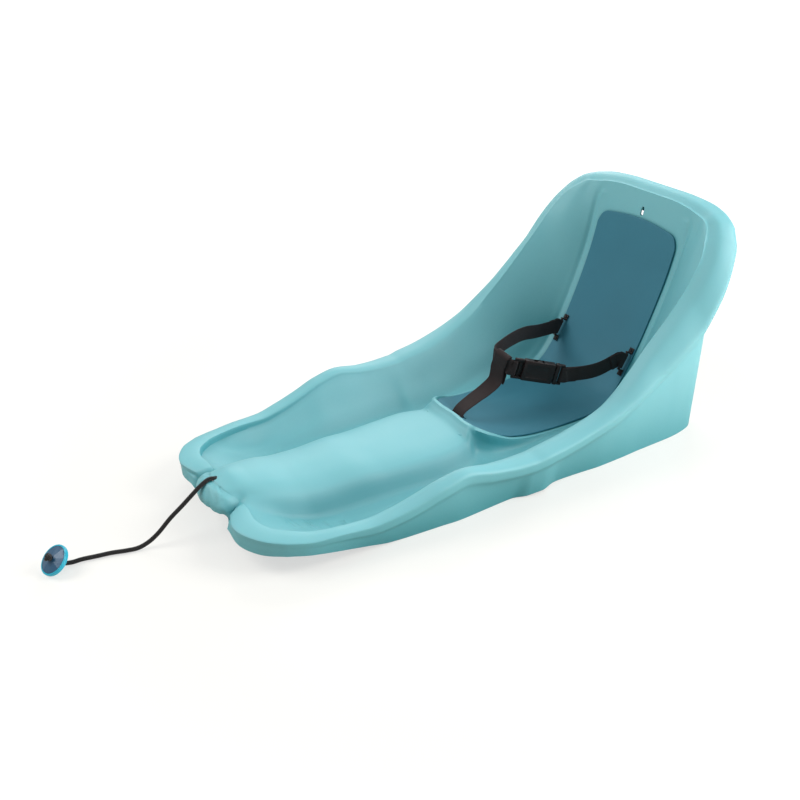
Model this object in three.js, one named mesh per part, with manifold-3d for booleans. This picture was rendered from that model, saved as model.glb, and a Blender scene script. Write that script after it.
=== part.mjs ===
// Baby pull sled: a one-piece moulded hull with two leg wells, a seat liner, a three-point belt with a
// side-release buckle, and a tow cord on a spring reel under the central ridge.
// Millimetres. +Z is up, the nose points to -Y and the origin is on the ground under the middle of the hull.

import * as THREE from 'three';
import { mergeVertices } from 'three/addons/utils/BufferGeometryUtils.js';
import Module from 'manifold-3d';

const wasm = await Module();
wasm.setup();

// Overall sizes of the moulded hull
const hullLength = 832;
const hullWidth = 422;
const hullHeight = 352;
const hullWall = 3;

// Clearances
const fitGap = 0.3;
const looseGap = 0.6;
const wideGap = 1.4;
const cutOverrun = 6;

// Seat liner
const linerThickness = 2.6;
const linerGap = 1;

// Belt webbing
const webWidth = 25.4;
const webThickness = 1.8;
const waistTail = 24;
const socketTail = 40;
const crotchTail = 14;
const sleeveTail = 3;
const foldTurns = 7;
const foldClosing = 14;
const slotWidth = 9.4;
const slotEndGap = 1.8;

// Strap loops on the back panel, their screws and backing plates
const loopRise = 8;
const loopBarRadius = 2;
const loopLegThickness = 2.4;
const loopFootLength = 8;
const loopWidth = 9;
const loopFootThickness = 2;
const screwRadius = 1.5;
const screwHeadRadius = 3;
const screwShoulderShare = 0.7;
const screwHeadHeight = 1.6;
const screwPoint = 1.6;
const backingThickness = 2;

// Buckle
const buckleWidth = 35;
const buckleThickness = 11;
const buckleWall = 2.4;
const buckleCorner = 3;
const barRadius = 1.7;
const socketLength = 67;
const socketLadder = 16;
const socketWeb = 2;
const socketSkin = 2;
const ladderInset = 1;
const windowLength = 18;
const windowOffset = 14;
const clipBlockLength = 6.4;
const clipLength = 18.4;
const clipTravelGap = 1.6;
const armThickness = 3.2;
const armLength = 36.5;
const armHeadLength = 15;
const headFlatShare = 0.4;
const armTipShare = 0.8;
const clipCorner = 2;
const clipLegShare = 1.6;
const tongueRoot = 1;
const tongueWidth = 7;
const tongueThickness = 4.6;

// Tow cord and its handle
const cordDiameter = 6;
const cordHoleGap = 1.3;
const handleRadius = 21;
const handleRimDepth = 5.6;
const handleRimWidth = 2.4;
const handleConeRise = 5;
const knotRadius = 5.6;
const knotShares = [[0.62, 0.1], [1, 0.6], [0.86, 1.15], [0.4, 1.45]];
const knotRise = 1.5;

// Reel under the ridge
const reelRadius = 43;
const reelFloor = 3;
const reelWall = 2;
const reelDepth = 22.6;
const flangeThickness = 1.7;
const flangeGap = 1.5;
const flangeRadius = reelRadius - reelWall - flangeGap;
const hubRadius = 17;
const windingRoom = 8.5;
const coreRadius = flangeRadius - windingRoom;
const spindleRadius = 4;
const journalRadius = 2;
const earRadius = 6.5;
const earReach = 5.3;
const earThickness = 3;
const bossRadius = 4.6;
const springTurns = 3;
const springThickness = 1;
const springWidth = 12;
const windingTurns = 1.05;
const windingPitch = 6.8;

// Runner soles under the leg wells
const soleStartShare = 0.19;
const soleEndShare = 0.62;

// Counts of the mesh
const acrossSteps = [3, 2, 3, 2, 2, 2];
const roundSides = 32;
const smallSides = 12;
const cordSides = 8;

const perMille = 0.001;

// Half of the hull's skin, row by row from the toe rim to the back rim, each row from the centre line out to the
// inner edge of the rim. x is in thousandths of the half width, y of the half length and z of the height.
const skinShares = [
  // toe rim
  {
    x: [0, 115, 195, 305, 425, 535, 615],
    y: [-950, -935, -905, -895, -900, -880, -835],
    z: [200, 190, 170, 160, 160, 155, 150],
  },
  // toe wall
  {
    x: [0, 125, 225, 330, 435, 555, 675],
    y: [-880, -870, -845, -835, -830, -810, -775],
    z: [210, 190, 140, 120, 115, 120, 140],
  },
  // toes
  {
    x: [0, 130, 255, 365, 465, 585, 710],
    y: [-795, -785, -765, -750, -735, -715, -690],
    z: [200, 180, 110, 70, 60, 80, 135],
  },
  // heel rest, front
  {
    x: [0, 135, 270, 385, 485, 600, 725],
    y: [-690, -690, -675, -665, -650, -630, -600],
    z: [170, 150, 80, 35, 30, 60, 130],
  },
  // heel rest, back
  {
    x: [0, 135, 275, 400, 495, 610, 740],
    y: [-590, -585, -575, -565, -560, -540, -515],
    z: [155, 135, 75, 25, 15, 60, 145],
  },
  // shin, front
  {
    x: [0, 140, 285, 410, 500, 625, 755],
    y: [-495, -490, -480, -470, -460, -445, -425],
    z: [155, 140, 80, 25, 15, 70, 175],
  },
  // shin, back
  {
    x: [0, 145, 295, 420, 510, 640, 770],
    y: [-385, -380, -375, -370, -360, -350, -335],
    z: [135, 125, 75, 25, 15, 90, 210],
  },
  // widest point of the rim
  {
    x: [0, 150, 310, 440, 520, 650, 780],
    y: [-260, -260, -255, -255, -250, -250, -250],
    z: [130, 120, 75, 25, 15, 95, 225],
  },
  // thigh
  {
    x: [0, 160, 320, 455, 525, 650, 775],
    y: [-140, -140, -140, -140, -140, -140, -140],
    z: [125, 120, 75, 25, 15, 90, 200],
  },
  // foot of the seat lip
  {
    x: [0, 150, 270, 410, 515, 645, 770],
    y: [-40, -40, -40, -40, -40, -40, -40],
    z: [130, 125, 95, 30, 15, 85, 190],
  },
  // seat lip
  {
    x: [0, 140, 235, 330, 475, 625, 770],
    y: [5, 0, 0, 5, 10, 15, 20],
    z: [135, 135, 140, 50, 25, 85, 190],
  },
  // front of the seat
  {
    x: [0, 160, 315, 390, 485, 630, 775],
    y: [60, 60, 60, 60, 65, 70, 75],
    z: [100, 105, 110, 45, 25, 85, 200],
  },
  // seat
  {
    x: [0, 180, 370, 430, 500, 640, 780],
    y: [145, 145, 145, 145, 150, 155, 160],
    z: [65, 70, 75, 40, 35, 100, 215],
  },
  // middle of the seat
  {
    x: [0, 200, 405, 450, 520, 660, 800],
    y: [260, 260, 260, 260, 265, 270, 280],
    z: [45, 45, 60, 50, 55, 135, 255],
  },
  // back of the seat
  {
    x: [0, 205, 415, 465, 540, 675, 815],
    y: [390, 390, 390, 390, 385, 380, 375],
    z: [35, 35, 55, 60, 95, 195, 310],
  },
  // bend from the seat to the back
  {
    x: [0, 210, 425, 475, 555, 680, 810],
    y: [515, 515, 515, 510, 500, 490, 475],
    z: [45, 50, 60, 80, 140, 265, 415],
  },
  // lumbar
  {
    x: [0, 210, 430, 485, 565, 685, 800],
    y: [615, 615, 615, 605, 595, 575, 560],
    z: [95, 100, 110, 140, 220, 365, 515],
  },
  // lower back
  {
    x: [0, 210, 430, 490, 575, 690, 800],
    y: [705, 705, 705, 695, 680, 660, 640],
    z: [240, 240, 250, 285, 370, 495, 610],
  },
  // middle of the back
  {
    x: [0, 215, 435, 495, 580, 685, 795],
    y: [790, 790, 785, 775, 755, 735, 710],
    z: [450, 450, 455, 490, 550, 630, 700],
  },
  // shoulders
  {
    x: [0, 220, 445, 500, 580, 675, 775],
    y: [855, 855, 855, 840, 820, 800, 780],
    z: [680, 685, 690, 715, 755, 795, 805],
  },
  // head
  {
    x: [0, 225, 455, 510, 580, 645, 710],
    y: [885, 885, 885, 875, 865, 850, 835],
    z: [850, 850, 855, 870, 885, 895, 890],
  },
  // back rim
  {
    x: [0, 225, 415, 495, 550, 600, 650],
    y: [905, 905, 900, 895, 890, 880, 870],
    z: [975, 975, 965, 955, 950, 945, 928],
  },
];
const columnCount = 7;
const lastColumn = columnCount - 1;
const lastRow = skinShares.length - 1;
const perimeterEnd = lastColumn + lastRow + lastColumn;

// Rim band and skirt round the half perimeter, station by station from the nose to the middle of the back rim.
// The band's reach and the foot's reach are outward from the rim's inner edge, in thousandths of the half width.
// The drop, the crown and the foot's height are in thousandths of the height. The tuck is how far the skirt's
// top stands over its foot, in thousandths: 0 leaves the skirt sloping, 1000 makes it upright.
const bandReachShares = [
  98, 97, 92, 132, 155, 140, 125,
  105, 95, 105, 115, 120, 120, 110, 135, 165, 175, 180, 180, 170, 165, 175, 185, 195, 205, 215, 222,
  200, 197, 195, 195, 191, 187, 187,
];
const bandDropShares = [
  55, 45, 25, 10, 5, 5, 10,
  10, 5, 5, 5, 10, 10, 5, 5, 5, 5, 5, 5, 10, 25, 60, 100, 125, 140, 95, 45,
  10, 0, -5, -10, -5, 0, 0,
];
const bandCrownShares = [
  5, 5, 10, 15, 15, 15, 15,
  15, 15, 15, 15, 15, 15, 15, 15, 15, 15, 15, 15, 15, 20, 25, 30, 30, 30, 30, 30,
  30, 25, 25, 25, 25, 25, 25,
];
const footReachShares = [
  -75, -55, 125, 150, 146, 136, 116,
  95, 75, 62, 54, 50, 50, 55, 55, 57, 105, 116, 60, 45, 45, 50, 55, 55, 60, 70, 105,
  95, 70, 50, 35, 25, 20, 15,
];
const footHeightShares = [
  62, 68, 92, 92, 86, 85, 80,
  70, 50, 25, 5, 0, 0, 0, 0, 0, 8, 14, 5, 0, 0, 0, 0, 0, 0, 0, 0,
  0, 0, 0, 0, 0, 0, 0,
];
const skirtTuckShares = [
  300, 300, 500, 500, 400, 300, 300,
  300, 300, 300, 300, 300, 300, 300, 300, 300, 300, 300, 350, 400, 500, 600, 750, 900, 1000, 1000, 1000,
  1000, 1000, 1000, 1000, 1000, 1000, 1000,
];
const lipDropShare = 0.035;
const lipTuckShare = 0.03;
const crownPlaceShare = 0.62;
const groovePlaceShare = 0.3;
const skirtTopShare = 0.3;

// Steps between the rows of the skin
const rowSteps = [2, 2, 2, 1, 1, 1, 1, 1, 2, 3, 2, 1, 1, 1, 2, 2, 2, 2, 2, 2, 3];

// Hang slot, crotch slot and back window, as shares of the hull
const hangHeightShare = 0.886;
const hangLengthShare = 0.04;
const hangWidthShare = 0.03;
const crotchSlotShare = 0.0296;
const windowWidthShare = 0.5;
const windowTopShare = 0.87;
const windowCornerShare = 0.19;
const windowDepthShare = 0.9;
// The step taken along the skin to find its local axes, in columns and rows of the skin
const axesStep = 0.04;
// How far either side of a rim station its outward direction is measured, in stations
const normalReach = 0.8;
// The columns of the skin between which the leg wells have a flat sole
const soleFirstColumn = 3.5;
const soleLastColumn = 4.5;

// Seat liner: its edge across and its two ends along the hull, from the middle out to the side
const linerFirstAlong = 10;
const linerAcross = [1.78, 1.9, 1.87, 1.83, 1.84, 1.84, 1.83, 1.8, 1.78, 1.74, 1.69];
const linerShares = [0, 0.22, 0.44, 0.64, 0.8, 0.9, 0.965, 1];
const linerFront = 10.34;
const linerFrontCorner = 0.1;
const linerTop = 20.04;
const linerArch = 0.2;
const linerTopCorner = 0.34;
const linerCornerStart = 0.72;
const linerFirstRow = 10.48;
const linerLastRow = 19.2;
const linerNotchShare = 1.12;

// Strap loops: their place on the back, and the half width of their legs in radii of the bar
const loopLegShare = 1.3;
const loopAcross = 1.66;
const loopAlong = 17.1;
const loopLift = 1.9;
const backingLift = 0.9;
const backingOverlap = 1;

// Waist belt: the route from the rider's right loop to the socket and from the clip to the left loop, as shares
// of the half width, the half length and the height
const waistRightShares = [
  [-0.335, 0.56, 0.302], [-0.285, 0.462, 0.33], [-0.215, 0.372, 0.347], [-0.142, 0.286, 0.353],
  [-0.095, 0.235, 0.348],
];
const sleevePlaceShares = [0, 0.235, 0.333];
const sleeveAimShares = [0.062, 0.243, 0.321];
const waistLeftShares = [[0.3, 0.5, 0.25], [0.334, 0.57, 0.268]];
const bucklePlaceShares = [0.083, 0.254, 0.313];
const buckleAimShares = [0.255, 0.428, 0.264];
const crotchRunShares = [[0.046, 0.152], [0.101, 0.183], [0.164, 0.213], [0.205, 0.245]];
const rightStrapSteps = 64;
const leftStrapSteps = 34;
const crotchSteps = 48;
// Where along each strap its width direction starts to turn and where it stops, as shares of its length
const rightTurn = [0.05, 0.5];
const leftTurn = [0.3, 0.95];
const crotchTurn = [0.5, 0.95];
const crotchBarEnd = 5;
const cordHoleLead = 20;
const innerLeadShare = 0.6;
const springSides = 14;
const windingSides = 20;
const innerSteps = 18;
const freeSteps = 34;

// The crotch strap's sleeve: heights of its route's points up the back, over the top and down the front, as
// shares of its half height
const sleeveBack = [-0.78, 0, 0.82];
const sleeveTop = 1.04;
const sleeveFront = [0.82, 0, -0.62];

// Reel: its place under the ridge
const reelPlaceShare = -0.082;
const earAngles = [Math.PI / 6, (5 * Math.PI) / 6, Math.PI * 1.5];

// Free cord: its route from the nose hole, as steps ahead of the hole and aside of it, and shares of the hole's
// height, then along the ground
const cordHangRoute = [
  [0, 5, 1.05], [0, 12, 1.06], [0, 25, 0.967], [0, 38, 0.83], [0, 51, 0.69], [0, 71, 0.485], [0, 90, 0.25],
  [-1, 104, 0.12],
];
const cordGroundRoute = [[-3, 118], [-6, 133], [-12, 151], [-16, 170], [-20, 188], [-21, 201]];
const cordHoleShare = -0.935;
const cordHoleAim = new THREE.Vector3(0, -0.8, 0.6);
const handlePlace = [-20, 221];
const handleAim = new THREE.Vector3(0.117, -0.622, 0.775);
const handleLift = 0.9;

const halfWidth = hullWidth / 2;
const halfLength = hullLength / 2;
const xAxis = new THREE.Vector3(1, 0, 0);
const zAxis = new THREE.Vector3(0, 0, 1);

function place(xShare, yShare, zShare) {
  return new THREE.Vector3(xShare * halfWidth, yShare * halfLength, zShare * hullHeight);
}

// A smooth curve through evenly spaced values that never overshoots them
function smoothLine(values) {
  const steps = values.slice(1).map((value, k) => value - values[k]);
  const slopes = values.map((value, k) => {
    if (k === 0) return steps[0];
    if (k === values.length - 1) return steps[k - 1];
    const product = steps[k - 1] * steps[k];
    return product <= 0 ? 0 : (2 * product) / (steps[k - 1] + steps[k]);
  });
  return (t) => {
    const k = Math.min(Math.max(Math.floor(t), 0), values.length - 2);
    const f = t - k;
    const rest = 1 - f;
    const start = values[k] * (1 + 2 * f) * rest * rest + slopes[k] * f * rest * rest;
    const end = values[k + 1] * f * f * (1 + 2 * rest) - slopes[k + 1] * f * f * rest;
    return start + end;
  };
}

const rowLines = skinShares.map((row) => ({
  x: smoothLine(row.x),
  y: smoothLine(row.y),
  z: smoothLine(row.z),
}));

// The line along the hull at one place across it, as a function from a row number to a point
function hullLine(across) {
  const x = smoothLine(rowLines.map((line) => line.x(across)));
  const y = smoothLine(rowLines.map((line) => line.y(across)));
  const z = smoothLine(rowLines.map((line) => line.z(across)));
  return (along) => place(x(along) * perMille, y(along) * perMille, z(along) * perMille);
}

function hullPoint(across, along) {
  return hullLine(across)(along);
}

// Local axes on the hull's skin: side to side, up the skin and square out of it
function hullAxes(across, along) {
  const before = Math.max(across - axesStep, 0);
  const side = hullPoint(across + axesStep, along).sub(hullPoint(before, along));
  if (across < axesStep) side.set(1, 0, 0);
  const below = hullPoint(across, along - axesStep);
  const up = hullPoint(across, along + axesStep).sub(below).normalize();
  const out = new THREE.Vector3().crossVectors(side, up).normalize();
  return { side: new THREE.Vector3().crossVectors(up, out), up, out };
}

function bisect(low, high, target, measure) {
  let a = low;
  let b = high;
  const halvings = 24;
  for (let k = 0; k < halvings; k += 1) {
    const middle = (a + b) / 2;
    if (measure(middle) < target) a = middle;
    else b = middle;
  }
  return (a + b) / 2;
}

// Height of the skin over a place on the ground
function skinHeight(x, y) {
  let across = 0;
  let along = lastRow / 2;
  const rounds = 6;
  for (let k = 0; k < rounds; k += 1) {
    along = bisect(0, lastRow, y, (t) => hullPoint(across, t).y);
    across = bisect(0, lastColumn, Math.abs(x), (t) => hullPoint(t, along).x);
  }
  return hullPoint(across, along).z;
}

function mirrored(point) {
  return new THREE.Vector3(-point.x, point.y, point.z);
}

function geometryFrom(points, triangles) {
  const geometry = new THREE.BufferGeometry();
  const values = points.flatMap((p) => [p.x, p.y, p.z]);
  geometry.setAttribute('position', new THREE.Float32BufferAttribute(values, 3));
  geometry.setIndex(triangles.flat());
  return geometry;
}

function toSolid(geometry) {
  const plain = geometry.clone();
  plain.deleteAttribute('normal');
  plain.deleteAttribute('uv');
  const weld = 1e-4;
  const merged = mergeVertices(plain, weld);
  const mesh = new wasm.Mesh({
    numProp: 3,
    vertProperties: new Float32Array(merged.attributes.position.array),
    triVerts: new Uint32Array(merged.index.array),
  });
  return new wasm.Manifold(mesh);
}

function fromSolid(solid) {
  const mesh = solid.getMesh();
  const count = mesh.vertProperties.length / mesh.numProp;
  const positions = new Float32Array(count * 3);
  for (let k = 0; k < count; k += 1) {
    for (let c = 0; c < 3; c += 1) {
      positions[k * 3 + c] = mesh.vertProperties[k * mesh.numProp + c];
    }
  }
  const geometry = new THREE.BufferGeometry();
  geometry.setAttribute('position', new THREE.BufferAttribute(positions, 3));
  geometry.setIndex(Array.from(mesh.triVerts));
  return geometry;
}

function joinAndCut(joined, tools) {
  let solid = toSolid(joined[0]);
  joined.slice(1).forEach((geometry) => {
    solid = solid.add(toSolid(geometry));
  });
  tools.forEach((tool) => {
    solid = solid.subtract(toSolid(tool));
  });
  return fromSolid(solid);
}

function box(low, high) {
  const geometry = new THREE.BoxGeometry(high[0] - low[0], high[1] - low[1], high[2] - low[2]);
  return geometry.translate((low[0] + high[0]) / 2, (low[1] + high[1]) / 2, (low[2] + high[2]) / 2);
}

// A plate from an outline drawn in x and y, between two heights
function plate(shape, low, high, segments = 4) {
  const options = { depth: high - low, bevelEnabled: false, curveSegments: segments };
  return new THREE.ExtrudeGeometry(shape, options).translate(0, 0, low);
}

// A plate with round corners from two opposite corners
function roundedPlate(low, high, radius) {
  const shape = new THREE.Shape();
  shape.absarc(high[0] - radius, low[1] + radius, radius, -Math.PI / 2, 0, false);
  shape.absarc(high[0] - radius, high[1] - radius, radius, 0, Math.PI / 2, false);
  shape.absarc(low[0] + radius, high[1] - radius, radius, Math.PI / 2, Math.PI, false);
  shape.absarc(low[0] + radius, low[1] + radius, radius, Math.PI, Math.PI * 1.5, false);
  shape.closePath();
  return plate(shape, low[2], high[2]);
}

function polygonPlate(outline, low, high) {
  return plate(new THREE.Shape(outline.map(([x, y]) => new THREE.Vector2(x, y))), low, high);
}

// A turned piece about +Z from [radius, height] points that start and end on the axis or close on themselves
function turned(profile, sides = roundSides) {
  const points = profile.map(([radius, height]) => new THREE.Vector2(radius, height));
  return new THREE.LatheGeometry(points, sides).rotateX(Math.PI / 2);
}

function turnedRing(inner, outer, low, high, sides = roundSides) {
  return turned([[inner, low], [outer, low], [outer, high], [inner, high], [inner, low]], sides);
}

function turnedRod(radius, low, high, sides = smallSides) {
  return turned([[0, low], [radius, low], [radius, high], [0, high]], sides);
}

// A screw about +Z: its shank from the point up to the head's seat, and the head on top
function screw(seat, point) {
  const crown = seat + screwHeadHeight;
  const shoulder = screwHeadRadius * screwShoulderShare;
  return turned([
    [0, point], [screwRadius, point], [screwRadius, seat], [screwHeadRadius, seat],
    [screwHeadRadius, seat + screwHeadHeight / 2], [shoulder, crown], [0, crown],
  ], smallSides);
}

function rodAcross(radius, reach, sides = smallSides) {
  return turnedRod(radius, -reach, reach, sides).rotateX(Math.PI / 2);
}

function alongAxis(direction, origin) {
  const turn = new THREE.Quaternion().setFromUnitVectors(zAxis, direction.clone().normalize());
  return new THREE.Matrix4().makeRotationFromQuaternion(turn).setPosition(origin);
}

function basisAt(side, up, out, origin) {
  return new THREE.Matrix4().makeBasis(side, up, out).setPosition(origin);
}

// A round tube along a smooth path through points
function tube(points, radius, steps, sides = cordSides) {
  const shape = new THREE.Shape();
  shape.absarc(0, 0, radius, 0, Math.PI * 2, false);
  const path = new THREE.CatmullRomCurve3(points, false, 'centripetal');
  return new THREE.ExtrudeGeometry(shape, { steps, extrudePath: path, curveSegments: sides / 2 });
}

// A closed solid through rings of the same count
function loft(rings) {
  const count = rings[0].length;
  const points = rings.flat();
  const triangles = [];
  for (let r = 0; r < rings.length - 1; r += 1) {
    for (let k = 0; k < count; k += 1) {
      const a = r * count + k;
      const b = r * count + ((k + 1) % count);
      triangles.push([a, b, b + count], [a, b + count, a + count]);
    }
  }
  const top = (rings.length - 1) * count;
  for (let k = 1; k < count - 1; k += 1) {
    triangles.push([0, k + 1, k], [top, top + k, top + k + 1]);
  }
  return geometryFrom(points, triangles);
}

function squared(vector, against) {
  return vector.clone().addScaledVector(against, -vector.dot(against)).normalize();
}

function tangentAt(points, k) {
  const after = points[Math.min(k + 1, points.length - 1)];
  return after.clone().sub(points[Math.max(k - 1, 0)]).normalize();
}

// A flat strap along stations of a centre point and a width direction
function ribbon(stations) {
  const centres = stations.map((station) => station.centre);
  const half = webWidth / 2;
  const thin = webThickness / 2;
  return loft(stations.map((station, k) => {
    const tangent = tangentAt(centres, k);
    const width = squared(station.width, tangent);
    const normal = new THREE.Vector3().crossVectors(tangent, width);
    const corners = [[-half, -thin], [half, -thin], [half, thin], [-half, thin]];
    return corners.map(([w, n]) => {
      return station.centre.clone().addScaledVector(width, w).addScaledVector(normal, n);
    });
  }));
}

// Stations along a smooth path with straight ends. The width direction stays the first one up to the held share
// of the path and then turns evenly to the last one, which it reaches at the turned share.
function strapStations(points, firstWidth, lastWidth, count, heldShare, turnedShare) {
  const curve = new THREE.CatmullRomCurve3(points.slice(1, -1), false, 'centripetal');
  const centres = [points[0], ...curve.getSpacedPoints(count), points[points.length - 1]];
  const last = centres.length - 1;
  return centres.map((centre, k) => {
    const share = (k / last - heldShare) / (turnedShare - heldShare);
    const width = firstWidth.clone().lerp(lastWidth, THREE.MathUtils.clamp(share, 0, 1));
    return { centre, width: squared(width, tangentAt(centres, k)) };
  });
}

// The reach from a bar's middle to the middle of the strap that goes round it
function foldRadius(radius) {
  return radius + fitGap + webThickness / 2;
}

// Carries a strap round the bar at the end of its path and back along itself
function foldBack(stations, radius, tailLength) {
  const reach = foldRadius(radius);
  const centres = stations.map((station) => station.centre);
  const last = centres.length - 1;
  const sideAt = (k) => {
    return new THREE.Vector3().crossVectors(stations[k].width, tangentAt(centres, k)).normalize();
  };
  const side = sideAt(last);
  const heading = tangentAt(centres, last);
  const width = stations[last].width;
  const bar = centres[last].clone().addScaledVector(side, reach);
  const result = [...stations];
  for (let k = 1; k <= foldTurns; k += 1) {
    const angle = (k / foldTurns) * Math.PI;
    const centre = bar.clone().addScaledVector(side, -reach * Math.cos(angle));
    result.push({ centre: centre.addScaledVector(heading, reach * Math.sin(angle)), width });
  }
  const layer = webThickness + fitGap;
  const lay = (centre, sideways, apart, across) => {
    result.push({ centre: centre.clone().addScaledVector(sideways, apart), width: across });
  };
  lay(centres[last].clone().addScaledVector(heading, -reach / 2), side, 2 * reach, width);
  let travelled = 0;
  for (let k = last - 1; k > 0 && travelled < tailLength; k -= 1) {
    travelled += centres[k].distanceTo(centres[k + 1]);
    const share = THREE.MathUtils.smoothstep(travelled, reach / 2, reach / 2 + foldClosing);
    const apart = THREE.MathUtils.lerp(2 * reach, layer, share);
    if (travelled > reach) lay(centres[k], sideAt(k), apart, stations[k].width);
  }
  return result;
}

const materials = {
  hull: { color: 0x86c6cd, roughness: 0.42, metalness: 0 },
  liner: { color: 0x3f7287, roughness: 0.5, metalness: 0 },
  webbing: { color: 0x232021, roughness: 0.85, metalness: 0 },
  buckle: { color: 0x1c1a1b, roughness: 0.4, metalness: 0 },
  steel: { color: 0xb9bcc0, roughness: 0.3, metalness: 1 },
  cord: { color: 0x1f1d1e, roughness: 0.85, metalness: 0 },
  handleRim: { color: 0x28b4cf, roughness: 0.35, metalness: 0 },
  handleFace: { color: 0x2d5f80, roughness: 0.4, metalness: 0 },
  reel: { color: 0x2a2c2e, roughness: 0.5, metalness: 0 },
};

const sled = new THREE.Group();

function addPart(name, geometry, materialName) {
  const mesh = new THREE.Mesh(geometry, new THREE.MeshStandardMaterial(materials[materialName]));
  mesh.name = name;
  sled.add(mesh);
  return mesh;
}

// The places across and along at which the skin is sampled
function splitSteps(counts) {
  const places = [0];
  counts.forEach((count, span) => {
    for (let k = 1; k <= count; k += 1) {
      places.push(span + k / count);
    }
  });
  return places;
}

const acrossPlaces = splitSteps(acrossSteps);
const alongPlaces = splitSteps(rowSteps);

function perimeterPoint(station) {
  if (station <= lastColumn) return hullPoint(station, 0);
  if (station <= lastColumn + lastRow) return hullPoint(lastColumn, station - lastColumn);
  return hullPoint(perimeterEnd - station, lastRow);
}

// The outward direction in plan at a station of the half perimeter
function perimeterNormal(station) {
  if (station === 0) return new THREE.Vector3(0, -1, 0);
  if (station === perimeterEnd) return new THREE.Vector3(0, 1, 0);
  const before = perimeterPoint(Math.max(station - normalReach, 0));
  const after = perimeterPoint(Math.min(station + normalReach, perimeterEnd));
  const run = after.sub(before);
  return new THREE.Vector3(run.y, -run.x, 0).normalize();
}

const bandReach = smoothLine(bandReachShares);
const bandDrop = smoothLine(bandDropShares);
const bandCrown = smoothLine(bandCrownShares);
const footReach = smoothLine(footReachShares);
const footHeight = smoothLine(footHeightShares);
const skirtTuck = smoothLine(skirtTuckShares);

// The rim band and skirt at one station: points from the rim's inner edge out, over and down to the foot
function rimSection(station) {
  const inner = perimeterPoint(station);
  const normal = perimeterNormal(station);
  const reach = bandReach(station) * perMille * halfWidth;
  const outer = inner.clone().addScaledVector(normal, reach);
  outer.z -= bandDrop(station) * perMille * hullHeight;
  const groove = inner.clone().lerp(outer, groovePlaceShare);
  const crown = inner.clone().lerp(outer, crownPlaceShare);
  crown.z += bandCrown(station) * perMille * hullHeight;
  const foot = inner.clone().addScaledVector(normal, footReach(station) * perMille * halfWidth);
  foot.z = footHeight(station) * perMille * hullHeight;
  const lip = outer.clone().addScaledVector(normal, -lipTuckShare * reach);
  lip.z -= Math.min(lipDropShare * hullHeight, (outer.z - foot.z) * skirtTopShare);
  const skirtTop = lip.clone().lerp(foot, skirtTuck(station) * perMille);
  skirtTop.z = THREE.MathUtils.lerp(lip.z, foot.z, skirtTopShare / 2);
  const skirtMiddle = skirtTop.clone().lerp(foot, 0.5);
  return [groove, crown, outer, lip, skirtTop, skirtMiddle, foot];
}

const perimeterStations = [
  ...acrossPlaces,
  ...alongPlaces.slice(1).map((along) => lastColumn + along),
  ...acrossPlaces.slice(0, -1).reverse().map((across) => perimeterEnd - across),
];

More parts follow.
